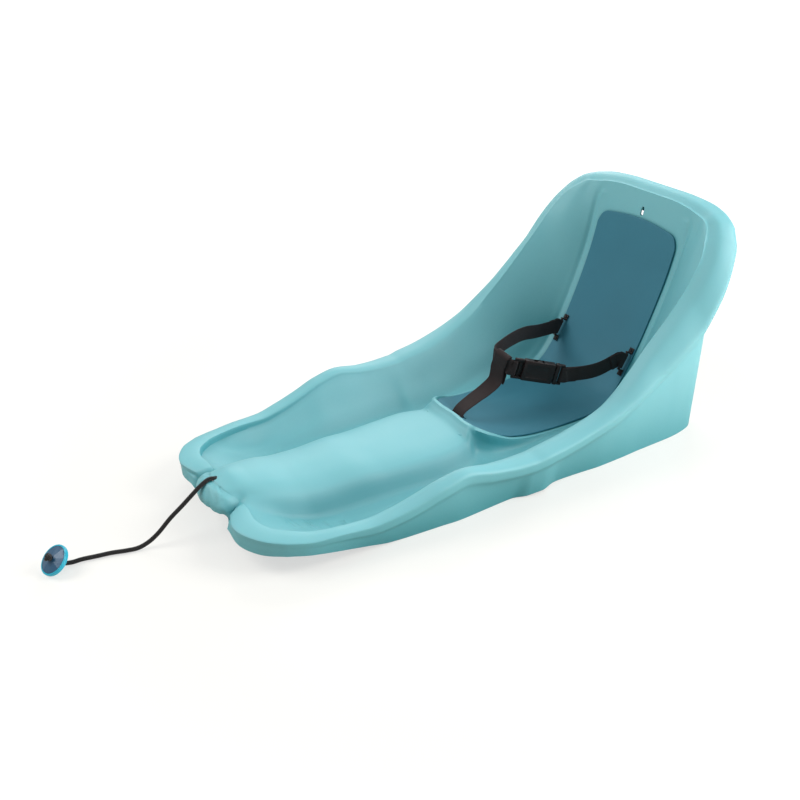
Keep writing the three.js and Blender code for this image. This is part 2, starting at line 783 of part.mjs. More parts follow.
// The shell as one closed skin: the sampled surface, the rim and skirt, and the same again one wall inward
function buildShell() {
  const acrossCount = acrossPlaces.length;
  const alongCount = alongPlaces.length;
  const points = [];
  const faces = [];
  const grid = new Map();
  const addPoint = (point) => {
    points.push(point);
    return points.length - 1;
  };
  const lines = acrossPlaces.map((across) => hullLine(across));
  for (let i = 1 - acrossCount; i < acrossCount; i += 1) {
    for (let j = 0; j < alongCount; j += 1) {
      const point = lines[Math.abs(i)](alongPlaces[j]);
      grid.set(`${i},${j}`, addPoint(i < 0 ? mirrored(point) : point));
    }
  }
  const at = (i, j) => grid.get(`${i},${j}`);
  for (let i = 1 - acrossCount; i < acrossCount - 1; i += 1) {
    for (let j = 0; j < alongCount - 1; j += 1) {
      faces.push([at(i, j), at(i + 1, j), at(i + 1, j + 1), at(i, j + 1)]);
    }
  }
  const last = acrossCount - 1;
  const halfLoop = [];
  for (let i = 0; i <= last; i += 1) halfLoop.push([i, 0]);
  for (let j = 1; j < alongCount; j += 1) halfLoop.push([last, j]);
  for (let i = last - 1; i >= 0; i -= 1) halfLoop.push([i, alongCount - 1]);
  const otherLoop = halfLoop.slice(1, -1).reverse().map(([i, j]) => [-i, j]);
  const sections = perimeterStations.map((station) => rimSection(station));
  const rings = [[...halfLoop, ...otherLoop].map(([i, j]) => at(i, j))];
  for (let ring = 0; ring < sections[0].length; ring += 1) {
    const half = sections.map((section) => addPoint(section[ring]));
    const other = sections.slice(1, -1).reverse().map((section) => addPoint(mirrored(section[ring])));
    rings.push([...half, ...other]);
  }
  const loopCount = rings[0].length;
  rings.slice(1).forEach((ring, r) => {
    for (let k = 0; k < loopCount; k += 1) {
      const next = (k + 1) % loopCount;
      faces.push([rings[r][k], ring[k], ring[next], rings[r][next]]);
    }
  });
  const normals = points.map(() => new THREE.Vector3());
  faces.forEach(([a, b, c, d]) => {
    const diagonal = points[c].clone().sub(points[a]);
    const normal = diagonal.cross(points[d].clone().sub(points[b]));
    [a, b, c, d].forEach((k) => normals[k].add(normal));
  });
  const foot = rings[rings.length - 1];
  foot.forEach((k) => normals[k].setZ(0));
  const skinCount = points.length;
  for (let k = 0; k < skinCount; k += 1) {
    points.push(points[k].clone().addScaledVector(normals[k].normalize(), -hullWall));
  }
  const soleRows = [...alongPlaces.keys()].filter((j) => {
    const share = lines[0](alongPlaces[j]).y / hullLength + 0.5;
    return share > soleStartShare && share < soleEndShare;
  });
  const soleColumns = [...acrossPlaces.keys()].filter((i) => {
    return acrossPlaces[i] >= soleFirstColumn && acrossPlaces[i] <= soleLastColumn;
  });
  soleColumns.forEach((i) => soleRows.forEach((j) => {
    points[skinCount + at(i, j)].z = 0;
    points[skinCount + at(-i, j)].z = 0;
  }));
  const triangles = [];
  faces.forEach(([a, b, c, d]) => {
    const [e, f, g, h] = [a, b, c, d].map((k) => skinCount + k);
    triangles.push([a, b, c], [a, c, d], [e, g, f], [e, h, g]);
  });
  for (let k = 0; k < loopCount; k += 1) {
    const next = (k + 1) % loopCount;
    triangles.push([foot[k], skinCount + foot[k], skinCount + foot[next]]);
    triangles.push([foot[k], skinCount + foot[next], foot[next]]);
  }
  return geometryFrom(points, triangles);
}

// Strap loops: the frame of each on the liner's face
const loopFrames = [1, -1].map((sign) => {
  const axes = hullAxes(loopAcross, loopAlong);
  const skin = hullPoint(loopAcross, loopAlong);
  const out = new THREE.Vector3(sign * axes.out.x, axes.out.y, axes.out.z);
  const up = new THREE.Vector3(sign * axes.up.x, axes.up.y, axes.up.z);
  const side = new THREE.Vector3().crossVectors(up, out);
  const origin = new THREE.Vector3(sign * skin.x, skin.y, skin.z);
  origin.addScaledVector(out, linerGap + linerThickness);
  return { sign, side, up, out, origin, matrix: basisAt(side, up, out, origin) };
});
const loopHalf = webWidth / 2 + wideGap + loopLegThickness;
const loopFootReach = loopHalf + loopFootLength;
const loopScrewReach = loopHalf + loopFootLength / 2;
const loopSkinDepth = linerGap + linerThickness;
const backingTop = -(loopSkinDepth + hullWall + backingLift);
const screwPlaces = [-loopScrewReach, loopScrewReach];
const screwSeat = loopLift + loopFootThickness + fitGap;

function loopDrills() {
  return loopFrames.flatMap((frame) => screwPlaces.map((reach) => {
    const drill = turnedRod(screwRadius + fitGap, -loopRise * 2, loopRise * 2);
    return drill.translate(0, reach, 0).applyMatrix4(frame.matrix);
  }));
}

function strapLoop(frame) {
  const bar = rodAcross(loopBarRadius, loopHalf - loopLegThickness / 2);
  const pieces = [bar.translate(0, 0, loopLift + loopRise)];
  const legWide = loopBarRadius * loopLegShare;
  [1, -1].forEach((end) => {
    const footIn = Math.min(end * (loopHalf - loopLegThickness), end * loopFootReach);
    const footOut = Math.max(end * (loopHalf - loopLegThickness), end * loopFootReach);
    const half = loopWidth / 2;
    pieces.push(box([-half, footIn, loopLift], [half, footOut, loopLift + loopFootThickness]));
    const legIn = Math.min(end * (loopHalf - loopLegThickness), end * loopHalf);
    const legOut = Math.max(end * (loopHalf - loopLegThickness), end * loopHalf);
    const legTop = loopLift + loopRise + loopBarRadius;
    pieces.push(box([-legWide, legIn, loopLift], [legWide, legOut, legTop]));
  });
  const drills = screwPlaces.map((reach) => {
    return turnedRod(screwRadius + fitGap, -loopRise, loopRise).translate(0, reach, 0);
  });
  return joinAndCut(pieces, drills).applyMatrix4(frame.matrix);
}

function backingPlate(frame) {
  const half = loopWidth / 2 + backingOverlap;
  const low = [-half, -loopFootReach, backingTop - backingThickness];
  const blank = roundedPlate(low, [half, loopFootReach, backingTop], buckleCorner);
  const drills = screwPlaces.map((reach) => {
    return turnedRod(screwRadius + fitGap, -loopRise * 2, loopRise * 2).translate(0, reach, 0);
  });
  return joinAndCut([blank], drills).applyMatrix4(frame.matrix);
}

// Crotch slot and the bar under it
const crotchY = crotchSlotShare * halfLength;
const crotchSkin = skinHeight(0, crotchY);
const crotchBarRadius = 1.6;
const crotchBarDrop = hullWall + wideGap + looseGap + crotchBarRadius;
const crotchBarPlace = new THREE.Vector3(0, crotchY, crotchSkin - crotchBarDrop);
const slotReach = webWidth / 2 + slotEndGap;

function crotchSlotTool(front, back) {
  const floor = crotchSkin - hullWall * 3;
  return box([-slotReach, crotchY + front, floor], [slotReach, crotchY + back, hullHeight / 3]);
}

// Nose hole for the cord
const cordRadius = cordDiameter / 2;
const cordHoleY = cordHoleShare * halfLength;
const cordHole = new THREE.Vector3(0, cordHoleY, skinHeight(0, cordHoleY));
const cordHoleTool = turnedRod(cordRadius + cordHoleGap, -hullWall * 5, hullWall * 5, roundSides)
  .applyMatrix4(alongAxis(cordHoleAim, cordHole));

// Hang slot and back window
const hangAlong = bisect(lastRow / 2, lastRow, hangHeightShare, (t) => hullPoint(0, t).z / hullHeight);
const hangPlace = hullPoint(0, hangAlong);
const hangHalfWidth = (hangWidthShare * halfWidth) / 2;
const hangHalfLength = (hangLengthShare * hullHeight) / 2;

function uprightStadium(halfAcross, halfTall, front, back) {
  const shape = new THREE.Shape();
  shape.absarc(0, halfTall - halfAcross, halfAcross, 0, Math.PI, false);
  shape.absarc(0, halfAcross - halfTall, halfAcross, Math.PI, Math.PI * 2, false);
  shape.closePath();
  return plate(shape, -back, -front).rotateX(Math.PI / 2);
}

function backWindow() {
  const half = windowWidthShare * halfWidth;
  const corner = windowCornerShare * halfWidth;
  const top = windowTopShare * hullHeight;
  const shape = new THREE.Shape();
  shape.moveTo(-half, -cutOverrun);
  shape.lineTo(half, -cutOverrun);
  shape.lineTo(half, top - corner);
  shape.absarc(half - corner, top - corner, corner, 0, Math.PI / 2, false);
  shape.absarc(corner - half, top - corner, corner, Math.PI / 2, Math.PI, false);
  shape.closePath();
  return plate(shape, -halfLength, -windowDepthShare * halfLength).rotateX(Math.PI / 2);
}

// Reel bosses
const reelPlace = new THREE.Vector3(0, reelPlaceShare * halfLength, 0);
const earPlaces = earAngles.map((angle) => {
  const reach = reelRadius + earReach;
  return new THREE.Vector3(reach * Math.cos(angle), reach * Math.sin(angle), 0).add(reelPlace);
});
const bossFoot = reelFloor + earThickness + fitGap;

function bossParts() {
  return earPlaces.map((ear) => {
    const top = skinHeight(ear.x, ear.y) - hullWall / 2;
    return turnedRod(bossRadius, bossFoot, top).translate(ear.x, ear.y, 0);
  });
}

function bossDrills() {
  return earPlaces.map((ear) => {
    const depth = bossFoot + screwRadius * 5;
    return turnedRod(screwRadius + fitGap / 2, 0, depth).translate(ear.x, ear.y, 0);
  });
}

const hangTool = uprightStadium(hangHalfWidth, hangHalfLength, -cutOverrun, cutOverrun);
hangTool.translate(0, hangPlace.y, hangPlace.z);
const hullTools = [
  backWindow(), hangTool, crotchSlotTool(-slotWidth / 2, slotWidth / 2), cordHoleTool,
  ...loopDrills(), ...bossDrills(),
];
addPart('hull_shell', joinAndCut([buildShell(), ...bossParts()], hullTools), 'hull');

// A place on the sampled skin: on the flat cell between the four samples round it
function sampledPoint(across, along) {
  const cell = (places, value) => {
    const k = Math.min(Math.max(places.findIndex((place) => place > value), 1), places.length - 1);
    return [places[k - 1], places[k], (value - places[k - 1]) / (places[k] - places[k - 1])];
  };
  const [inner, outer, u] = cell(acrossPlaces, across);
  const [front, back, v] = cell(alongPlaces, along);
  const near = hullPoint(inner, front).lerp(hullPoint(outer, front), u);
  return near.lerp(hullPoint(inner, back).lerp(hullPoint(outer, back), u), v);
}

// Seat liner: a sheet that follows the skin
const linerPlaces = alongPlaces.filter((along) => along > linerFirstRow && along < linerLastRow);
const linerRows = linerPlaces.length + 2;

function buildLiner() {
  const edge = smoothLine(linerAcross);
  const columns = [...linerShares.slice(1).reverse().map((share) => -share), ...linerShares];
  const points = [];
  const corner = (share) => Math.max((share - linerCornerStart) / (1 - linerCornerStart), 0);
  [linerGap + linerThickness, linerGap].forEach((lift) => {
    columns.forEach((signed) => {
      const share = Math.abs(signed);
      const front = linerFront + linerFrontCorner * corner(share) ** 3;
      const top = linerTop - linerArch * share * share - linerTopCorner * corner(share) ** 4;
      const run = [front, ...linerPlaces, (linerPlaces[linerPlaces.length - 1] + top) / 2, top];
      run.forEach((along) => {
        const across = share * edge(Math.min(Math.max(along - linerFirstAlong, 0), linerAcross.length - 1));
        const { out } = hullAxes(across, along);
        const point = sampledPoint(across, along).addScaledVector(out, lift);
        points.push(signed < 0 ? mirrored(point) : point);
      });
    });
  });
  const rows = linerRows + 1;
  const layer = columns.length * rows;
  const triangles = [];
  const quad = (a, b, c, d) => triangles.push([a, b, c], [a, c, d]);
  for (let i = 0; i < columns.length - 1; i += 1) {
    for (let k = 0; k < linerRows; k += 1) {
      const a = i * rows + k;
      quad(a, a + rows, a + rows + 1, a + 1);
      quad(layer + a, layer + a + 1, layer + a + rows + 1, layer + a + rows);
    }
    const front = i * rows;
    const top = front + linerRows;
    quad(front, layer + front, layer + front + rows, front + rows);
    quad(top, top + rows, layer + top + rows, layer + top);
  }
  for (let k = 0; k < linerRows; k += 1) {
    const far = (columns.length - 1) * rows + k;
    quad(k, k + 1, layer + k + 1, layer + k);
    quad(far, layer + far, layer + far + 1, far + 1);
  }
  return geometryFrom(points, triangles);
}

const notchTool = crotchSlotTool(-slotWidth * 4, slotWidth * linerNotchShare);
addPart('seat_liner', joinAndCut([buildLiner()], [notchTool, ...loopDrills()]), 'liner');

// Strap loops with their backing plates and screws
loopFrames.forEach((frame) => {
  const sideName = frame.sign > 0 ? 'left' : 'right';
  addPart(`strap_loop_${sideName}`, strapLoop(frame), 'buckle');
  addPart(`backing_plate_${sideName}`, backingPlate(frame), 'buckle');
  screwPlaces.forEach((reach, k) => {
    const point = backingTop - backingThickness - screwPoint;
    const geometry = screw(screwSeat, point).translate(0, reach, 0).applyMatrix4(frame.matrix);
    addPart(`loop_screw_${sideName}_${k === 0 ? 'lower' : 'upper'}`, geometry, 'steel');
  });
});

// Buckle frame: x runs from the socket's bar to the clip, y is its width, z faces out
const buckleOrigin = place(...bucklePlaceShares);
const buckleX = place(...buckleAimShares).sub(buckleOrigin).normalize();
const buckleY = squared(zAxis, buckleX);
const buckleZ = new THREE.Vector3().crossVectors(buckleX, buckleY);
const buckleMatrix = basisAt(buckleX, buckleY, buckleZ, buckleOrigin);
const buckleHalf = buckleWidth / 2;
const buckleDeep = buckleThickness / 2;
const cavityHalf = buckleHalf - buckleWall;
const webSlotHalf = webWidth / 2 + looseGap;
const clipFace = socketLength + clipTravelGap;
const clipEnd = clipFace + clipLength;
const clipBar = clipEnd - barRadius - looseGap;
const socketBar = barRadius + looseGap;

function buildSocket() {
  const sleeve = [[socketLadder, -buckleHalf, -buckleDeep], [socketLength, buckleHalf, buckleDeep]];
  const pieces = [roundedPlate(...sleeve, buckleCorner)];
  const ladderDeep = barRadius + looseGap;
  [1, -1].forEach((end) => {
    const low = Math.min(end * webSlotHalf, end * buckleHalf);
    const high = Math.max(end * webSlotHalf, end * buckleHalf);
    pieces.push(box([0, low, -ladderDeep], [socketLadder + buckleCorner * 2, high, ladderDeep]));
  });
  pieces.push(rodAcross(barRadius, webSlotHalf + looseGap).translate(socketBar, 0, 0));
  const secondBar = socketBar + foldRadius(barRadius) + webThickness * 2;
  const secondEnd = secondBar + socketWeb;
  const barHalf = buckleHalf - ladderInset;
  pieces.push(box([secondBar, -barHalf, -barRadius], [secondEnd, barHalf, barRadius]));
  const cavityStart = socketLadder + socketWeb;
  const cavityDeep = buckleDeep - socketSkin;
  const tools = [
    box([cavityStart, -cavityHalf, -cavityDeep], [socketLength + cutOverrun, cavityHalf, cavityDeep]),
    box(
      [socketLadder + windowOffset, -buckleHalf - cutOverrun, -cavityDeep],
      [socketLadder + windowOffset + windowLength, buckleHalf + cutOverrun, cavityDeep],
    ),
  ];
  return joinAndCut(pieces, tools).applyMatrix4(buckleMatrix);
}

function buildClip() {
  const clipDeep = buckleDeep - looseGap;
  const blockEnd = clipFace + clipBlockLength;
  const blockTop = [blockEnd, buckleHalf, clipDeep];
  const block = roundedPlate([clipFace, -buckleHalf, -clipDeep], blockTop, clipCorner);
  const legDeep = barRadius * clipLegShare;
  const pieces = [block];
  [1, -1].forEach((end) => {
    const low = Math.min(end * webSlotHalf, end * buckleHalf);
    const high = Math.max(end * webSlotHalf, end * buckleHalf);
    pieces.push(box([clipFace + clipBlockLength / 2, low, -legDeep], [clipEnd, high, legDeep]));
  });
  pieces.push(rodAcross(barRadius, webSlotHalf + looseGap).translate(clipBar, 0, 0));
  const tongueStart = socketLadder + socketWeb + clipTravelGap * 2;
  const tongueHalf = tongueWidth / 2;
  const tongueDeep = tongueThickness / 2;
  pieces.push(box([tongueStart, -tongueHalf, -tongueDeep], [clipFace + tongueRoot, tongueHalf, tongueDeep]));
  return joinAndCut(pieces, []).applyMatrix4(buckleMatrix);
}

function buildArm(sign) {
  const root = clipFace - looseGap;
  const outer = cavityHalf - looseGap;
  const inner = outer - armThickness;
  const tip = root - armLength;
  const head = tip + armHeadLength;
  const headTop = buckleHalf - fitGap;
  const outline = [
    [root, inner], [root, outer], [head, outer], [head, headTop],
    [head - armHeadLength * headFlatShare, headTop], [tip, inner + armThickness * armTipShare], [tip, inner],
  ];
  const deep = buckleDeep - 2 - looseGap;
  const geometry = polygonPlate(outline, -deep, deep);
  if (sign < 0) geometry.rotateX(Math.PI);
  return geometry.applyMatrix4(buckleMatrix);
}

addPart('buckle_socket', buildSocket(), 'buckle');
addPart('buckle_clip', buildClip(), 'buckle');
addPart('clip_arm_upper', buildArm(1), 'buckle');
addPart('clip_arm_lower', buildArm(-1), 'buckle');

function inBuckle(x, y, z) {
  return new THREE.Vector3(x, y, z).applyMatrix4(buckleMatrix);
}

// Where the waist straps leave the loops: the strap lies on one side of the bar and folds round it
function loopStart(frame) {
  const bar = frame.origin.clone().addScaledVector(frame.out, loopLift + loopRise);
  const beside = frame.side.clone().multiplyScalar(-Math.sign(frame.side.x * frame.sign));
  const point = bar.addScaledVector(beside, foldRadius(loopBarRadius));
  return { point, lead: point.clone().addScaledVector(frame.out, loopRise) };
}

// The rider's right waist strap runs from its loop through the crotch strap's sleeve to the socket's bar, and
// the left one from the clip's bar to its loop
const [leftFrame, rightFrame] = loopFrames;
const sleevePlace = place(...sleevePlaceShares);
const sleeveHeading = place(...sleeveAimShares).sub(sleevePlace).normalize();
const sleeveHalf = webWidth / 2 + fitGap;
const barReach = foldRadius(barRadius);
const down = zAxis.clone().negate();

function foldBothEnds(stations, firstRadius, firstTail, lastRadius, lastTail) {
  const folded = foldBack(stations, lastRadius, lastTail);
  const added = folded.slice(stations.length);
  const turned = ({ centre, width }) => ({ centre, width: width.clone().negate() });
  const reversed = [...stations].reverse().map(turned);
  const other = foldBack(reversed, firstRadius, firstTail).slice(stations.length).reverse();
  const lead = other.map(turned);
  return [...lead, ...stations, ...added];
}

function buildRightStrap() {
  const start = loopStart(rightFrame);
  const points = [
    start.point, start.lead, ...waistRightShares.map((shares) => place(...shares)),
    sleevePlace.clone().addScaledVector(sleeveHeading, -sleeveHalf), sleevePlace,
    sleevePlace.clone().addScaledVector(sleeveHeading, sleeveHalf),
    inBuckle(socketBar - barReach * 2, 0, -barReach), inBuckle(socketBar, 0, -barReach),
  ];
  const stations = strapStations(points, rightFrame.up.clone().negate(), down, rightStrapSteps, ...rightTurn);
  return ribbon(foldBothEnds(stations, loopBarRadius, waistTail, barRadius, socketTail));
}

function buildLeftStrap() {
  const end = loopStart(leftFrame);
  const points = [
    inBuckle(clipBar, 0, -barReach), inBuckle(clipBar + barReach * 2, 0, -barReach),
    ...waistLeftShares.map((shares) => place(...shares)), end.lead, end.point,
  ];
  const stations = strapStations(points, down, leftFrame.up.clone().negate(), leftStrapSteps, ...leftTurn);
  return ribbon(foldBothEnds(stations, barRadius, waistTail, loopBarRadius, waistTail));
}

addPart('waist_strap_right', buildRightStrap(), 'webbing');
addPart('waist_strap_left', buildLeftStrap(), 'webbing');

// The crotch strap runs up the back of itself, round the waist strap, down its front and into the slot to the bar
function buildCrotchStrap() {
  const up = squared(zAxis, sleeveHeading);
  const front = new THREE.Vector3().crossVectors(sleeveHeading, up);
  const near = 2 * webThickness + looseGap * 5 + fitGap * 2;
  const far = -(webThickness + looseGap * 3 + fitGap);
  const high = webWidth / 2 + webThickness + looseGap * 2;
  const at = (outward, rise) => {
    return sleevePlace.clone().addScaledVector(front, outward).addScaledVector(up, rise);
  };
  const slotTop = crotchBarPlace.clone().add(new THREE.Vector3(0, -barFold, hullWall + looseGap * 4));
  const run = crotchRunShares.map((shares) => place(0, ...shares));
  const [beforeTop, runTop] = run.slice(-2);
  const rise = runTop.clone().sub(beforeTop).normalize();
  const under = new THREE.Vector3(0, rise.z, -rise.y);
  const layer = webThickness * 2;
  const behind = (back) => runTop.clone().addScaledVector(rise, -back).addScaledVector(under, layer);
  const points = [
    behind(-sleeveTail), behind(-sleeveTail - looseGap), ...sleeveBack.map((share) => at(far, high * share)),
    at((near + far) / 2, high * sleeveTop), ...sleeveFront.map((share) => at(near, high * share)),
    ...[...run].reverse(), slotTop, crotchBarPlace.clone().add(new THREE.Vector3(0, -barFold, 0)),
  ];
  const stations = strapStations(points, sleeveHeading, xAxis, crotchSteps, ...crotchTurn);
  return ribbon(foldBack(stations, crotchBarRadius, crotchTail));
}

const barFold = foldRadius(crotchBarRadius);
addPart('crotch_strap', buildCrotchStrap(), 'webbing');
const crotchBar = turnedRod(crotchBarRadius, -slotReach - crotchBarEnd, slotReach + crotchBarEnd, smallSides);
crotchBar.rotateY(Math.PI / 2).translate(...crotchBarPlace.toArray());
addPart('crotch_strap_bar', crotchBar, 'steel');

// Reel: a case screwed under the hull, its lid, and a sprung drum on a spindle
const caseTop = reelFloor + reelDepth;
const drumFoot = reelFloor + reelWall + looseGap;
const drumTop = caseTop - looseGap;
const windingFoot = drumFoot + flangeThickness + fitGap;
const windingTop = drumTop - flangeThickness - fitGap;
const windingRadius = coreRadius + cordRadius - fitGap;
const outletHeight = windingTop - cordRadius - fitGap / 2;

function atReel(geometry) {
  return geometry.translate(reelPlace.x, reelPlace.y, 0);
}

const innerStart = new THREE.Vector3(-windingRadius, -looseGap * 6, outletHeight).add(reelPlace);
const noseAim = cordHoleAim.clone().normalize();
const innerBend = cordHole.clone().addScaledVector(noseAim, -cordHoleLead);
const caseExit = new THREE.Vector3(-windingRadius, -reelRadius - earRadius, outletHeight).add(reelPlace);
const innerEnd = cordHole.clone().addScaledVector(noseAim, -fitGap / 2);

function buildCase() {
  const shell = atReel(turned([
    [0, reelFloor], [reelRadius, reelFloor], [reelRadius, caseTop], [reelRadius - reelWall, caseTop],
    [reelRadius - reelWall, reelFloor + reelWall], [0, reelFloor + reelWall],
  ]));
  const ears = earPlaces.map((ear) => {
    const rod = turnedRod(earRadius, reelFloor, reelFloor + earThickness, roundSides / 2);
    return rod.translate(ear.x, ear.y, 0);
  });
  const hollow = turnedRod(reelRadius - reelWall, reelFloor + reelWall, caseTop + 1, roundSides);
  const screwHoles = earPlaces.map((ear) => {
    return turnedRod(screwRadius + fitGap, 0, caseTop).translate(ear.x, ear.y, 0);
  });
  const outlet = turnedRod(cordRadius + wideGap, 0, reelRadius)
    .applyMatrix4(alongAxis(caseExit.clone().sub(innerStart), innerStart));
  const socket = turnedRod(journalRadius + fitGap, 0, reelFloor + reelWall * 2);
  return joinAndCut([shell, ...ears], [atReel(hollow), atReel(socket), outlet, ...screwHoles]);
}

function buildDrum() {
  const bore = spindleRadius + fitGap;
  const cup = hubRadius - reelWall;
  return atReel(turned([
    [bore, drumFoot], [flangeRadius, drumFoot], [flangeRadius, drumFoot + flangeThickness],
    [hubRadius, drumFoot + flangeThickness], [hubRadius, drumTop - flangeThickness],
    [flangeRadius, drumTop - flangeThickness], [flangeRadius, drumTop], [cup, drumTop],
    [cup, drumFoot + flangeThickness], [bore, drumFoot + flangeThickness], [bore, drumFoot],
  ]));
}

function buildSpindle() {
  return atReel(turned([
    [0, reelFloor + fitGap], [journalRadius, reelFloor + fitGap],
    [journalRadius, reelFloor + reelWall + fitGap],
    [spindleRadius, reelFloor + reelWall + fitGap], [spindleRadius, caseTop - fitGap],
    [journalRadius, caseTop - fitGap], [journalRadius, caseTop + reelWall], [0, caseTop + reelWall],
  ], roundSides / 2));
}

// A flat spiral strip from the spindle out to the drum's cup
function buildSpring() {
  const start = spindleRadius + fitGap;
  const end = hubRadius - reelWall - fitGap - springThickness;
  const low = drumFoot + flangeThickness + looseGap;
  const steps = springTurns * springSides;
  const inner = [];
  const outer = [];
  for (let k = 0; k <= steps; k += 1) {
    const angle = (k / steps) * springTurns * Math.PI * 2;
    const radius = THREE.MathUtils.lerp(start, end, k / steps);
    inner.push([radius * Math.cos(angle), radius * Math.sin(angle)]);
    outer.push([(radius + springThickness) * Math.cos(angle), (radius + springThickness) * Math.sin(angle)]);
  }
  return atReel(polygonPlate([...outer, ...inner.reverse()], low, low + springWidth));
}

// The cord on the drum: a plain core of the inner layers, and the outer layer as one winding
function buildWinding() {
  const core = turnedRing(hubRadius + fitGap, coreRadius, windingFoot, windingTop);
  const points = [];
  const turns = windingTurns;
  const steps = Math.ceil(turns * windingSides);
  const rise = windingTop - windingFoot - cordDiameter - fitGap;
  for (let k = 0; k <= steps; k += 1) {
    const angle = Math.PI - (1 - k / steps) * turns * Math.PI * 2;
    const height = windingFoot + cordRadius + fitGap / 2 + rise * (k / steps);
    points.push(new THREE.Vector3(windingRadius * Math.cos(angle), windingRadius * Math.sin(angle), height));
  }
  const winding = tube(points, cordRadius, steps);
  return atReel(joinAndCut([core, winding], []));
}

addPart('reel_case', buildCase(), 'reel');
const lidDrill = turnedRod(journalRadius + fitGap, 0, caseTop * 2, roundSides / 2);
const lid = turnedRod(reelRadius, caseTop + fitGap, caseTop + fitGap + reelWall, roundSides);
addPart('reel_lid', atReel(joinAndCut([lid], [lidDrill])), 'reel');
addPart('reel_drum', buildDrum(), 'reel');
addPart('reel_spindle', buildSpindle(), 'steel');
addPart('recoil_spring', buildSpring(), 'steel');
addPart('wound_cord', buildWinding(), 'cord');
earPlaces.forEach((ear, k) => {
  const geometry = screw(0, -(earThickness + screwRadius * 4)).rotateX(Math.PI);
  geometry.translate(ear.x, ear.y, reelFloor - fitGap / 2);
  addPart(`reel_screw_${k + 1}`, geometry, 'steel');
});

// The cord from the drum to the nose hole, and the free cord ahead of it with its handle
const innerPoints = [
  innerStart, innerStart.clone().lerp(caseExit, innerLeadShare), caseExit,
  caseExit.clone().lerp(innerBend, 0.5), innerBend, innerEnd,
];
addPart('cord_inner_run', tube(innerPoints, cordRadius, innerSteps), 'cord');

const groundHeight = cordRadius + looseGap;
const handleNormal = handleAim.clone().normalize();
const handleDrop = Math.sqrt(1 - handleNormal.z ** 2) * (handleRadius + looseGap);
const handleRise = handleDrop + (handleRimDepth / 2) * handleNormal.z + looseGap;
const handleCentre = new THREE.Vector3(handlePlace[0], cordHole.y - handlePlace[1], handleRise);
const handleMatrix = alongAxis(handleNormal, handleCentre);
const handleHole = cordRadius + fitGap;
const hubDepth = handleRimDepth / 2 + cordDiameter / 2;

function inHandle(height) {
  return handleCentre.clone().addScaledVector(handleNormal, height);
}

const coneTop = handleRimDepth / 2 + handleConeRise;
const cordEnd = inHandle(coneTop - fitGap);
const freePoints = [
  cordHole.clone().addScaledVector(noseAim, fitGap / 2), cordHole.clone().addScaledVector(noseAim, cordRadius),
  ...cordHangRoute.map(([x, ahead, rise]) => {
    return new THREE.Vector3(x, cordHole.y - ahead, Math.max(rise * cordHole.z, groundHeight));
  }),
  ...cordGroundRoute.map(([x, ahead]) => new THREE.Vector3(x, cordHole.y - ahead, groundHeight)),
  inHandle(-hubDepth - cordDiameter), inHandle(-hubDepth), cordEnd,
];
addPart('pull_cord', tube(freePoints, cordRadius, freeSteps), 'cord');

function buildHandleRim() {
  const back = -handleRimDepth / 2;
  const face = handleRimDepth / 2;
  const seat = handleRadius - handleRimWidth;
  const corner = handleRimDepth / 4;
  return turned([
    [handleHole, -hubDepth], [handleHole * 2, -hubDepth], [handleHole * 2, back],
    [handleRadius - corner, back],
    [handleRadius, back + corner], [handleRadius, face - corner], [handleRadius - corner, face], [seat, face],
    [seat, 0], [handleHole, 0], [handleHole, -hubDepth],
  ]).applyMatrix4(handleMatrix);
}

function buildHandleFace() {
  const seat = handleRadius - handleRimWidth - fitGap;
  const face = handleRimDepth / 2;
  return turned([
    [handleHole, fitGap], [seat, fitGap], [seat, face], [handleHole, coneTop - looseGap], [handleHole, fitGap],
  ]).applyMatrix4(handleMatrix);
}

addPart('handle_rim', buildHandleRim(), 'handleRim');
addPart('handle_face', buildHandleFace(), 'handleFace');
const knot = turned([
  [0, coneTop],
  ...knotShares.map(([reach, rise]) => [knotRadius * reach, coneTop + knotRadius * rise]),
  [0, coneTop + knotRadius * knotRise],
], smallSides);
addPart('cord_knot', knot.applyMatrix4(handleMatrix), 'cord');

export default sled;
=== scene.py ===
"""Looks of the baby pull sled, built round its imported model: hull, seat liner, belt, buckle, reel, cord, handle.

Metres. +Z is up, the nose points to -Y and the origin is on the ground under the middle of the hull.
"""

import logging
import math
from dataclasses import dataclass, field
from enum import Enum
from functools import lru_cache
from typing import Callable, Iterable, Protocol, Sequence

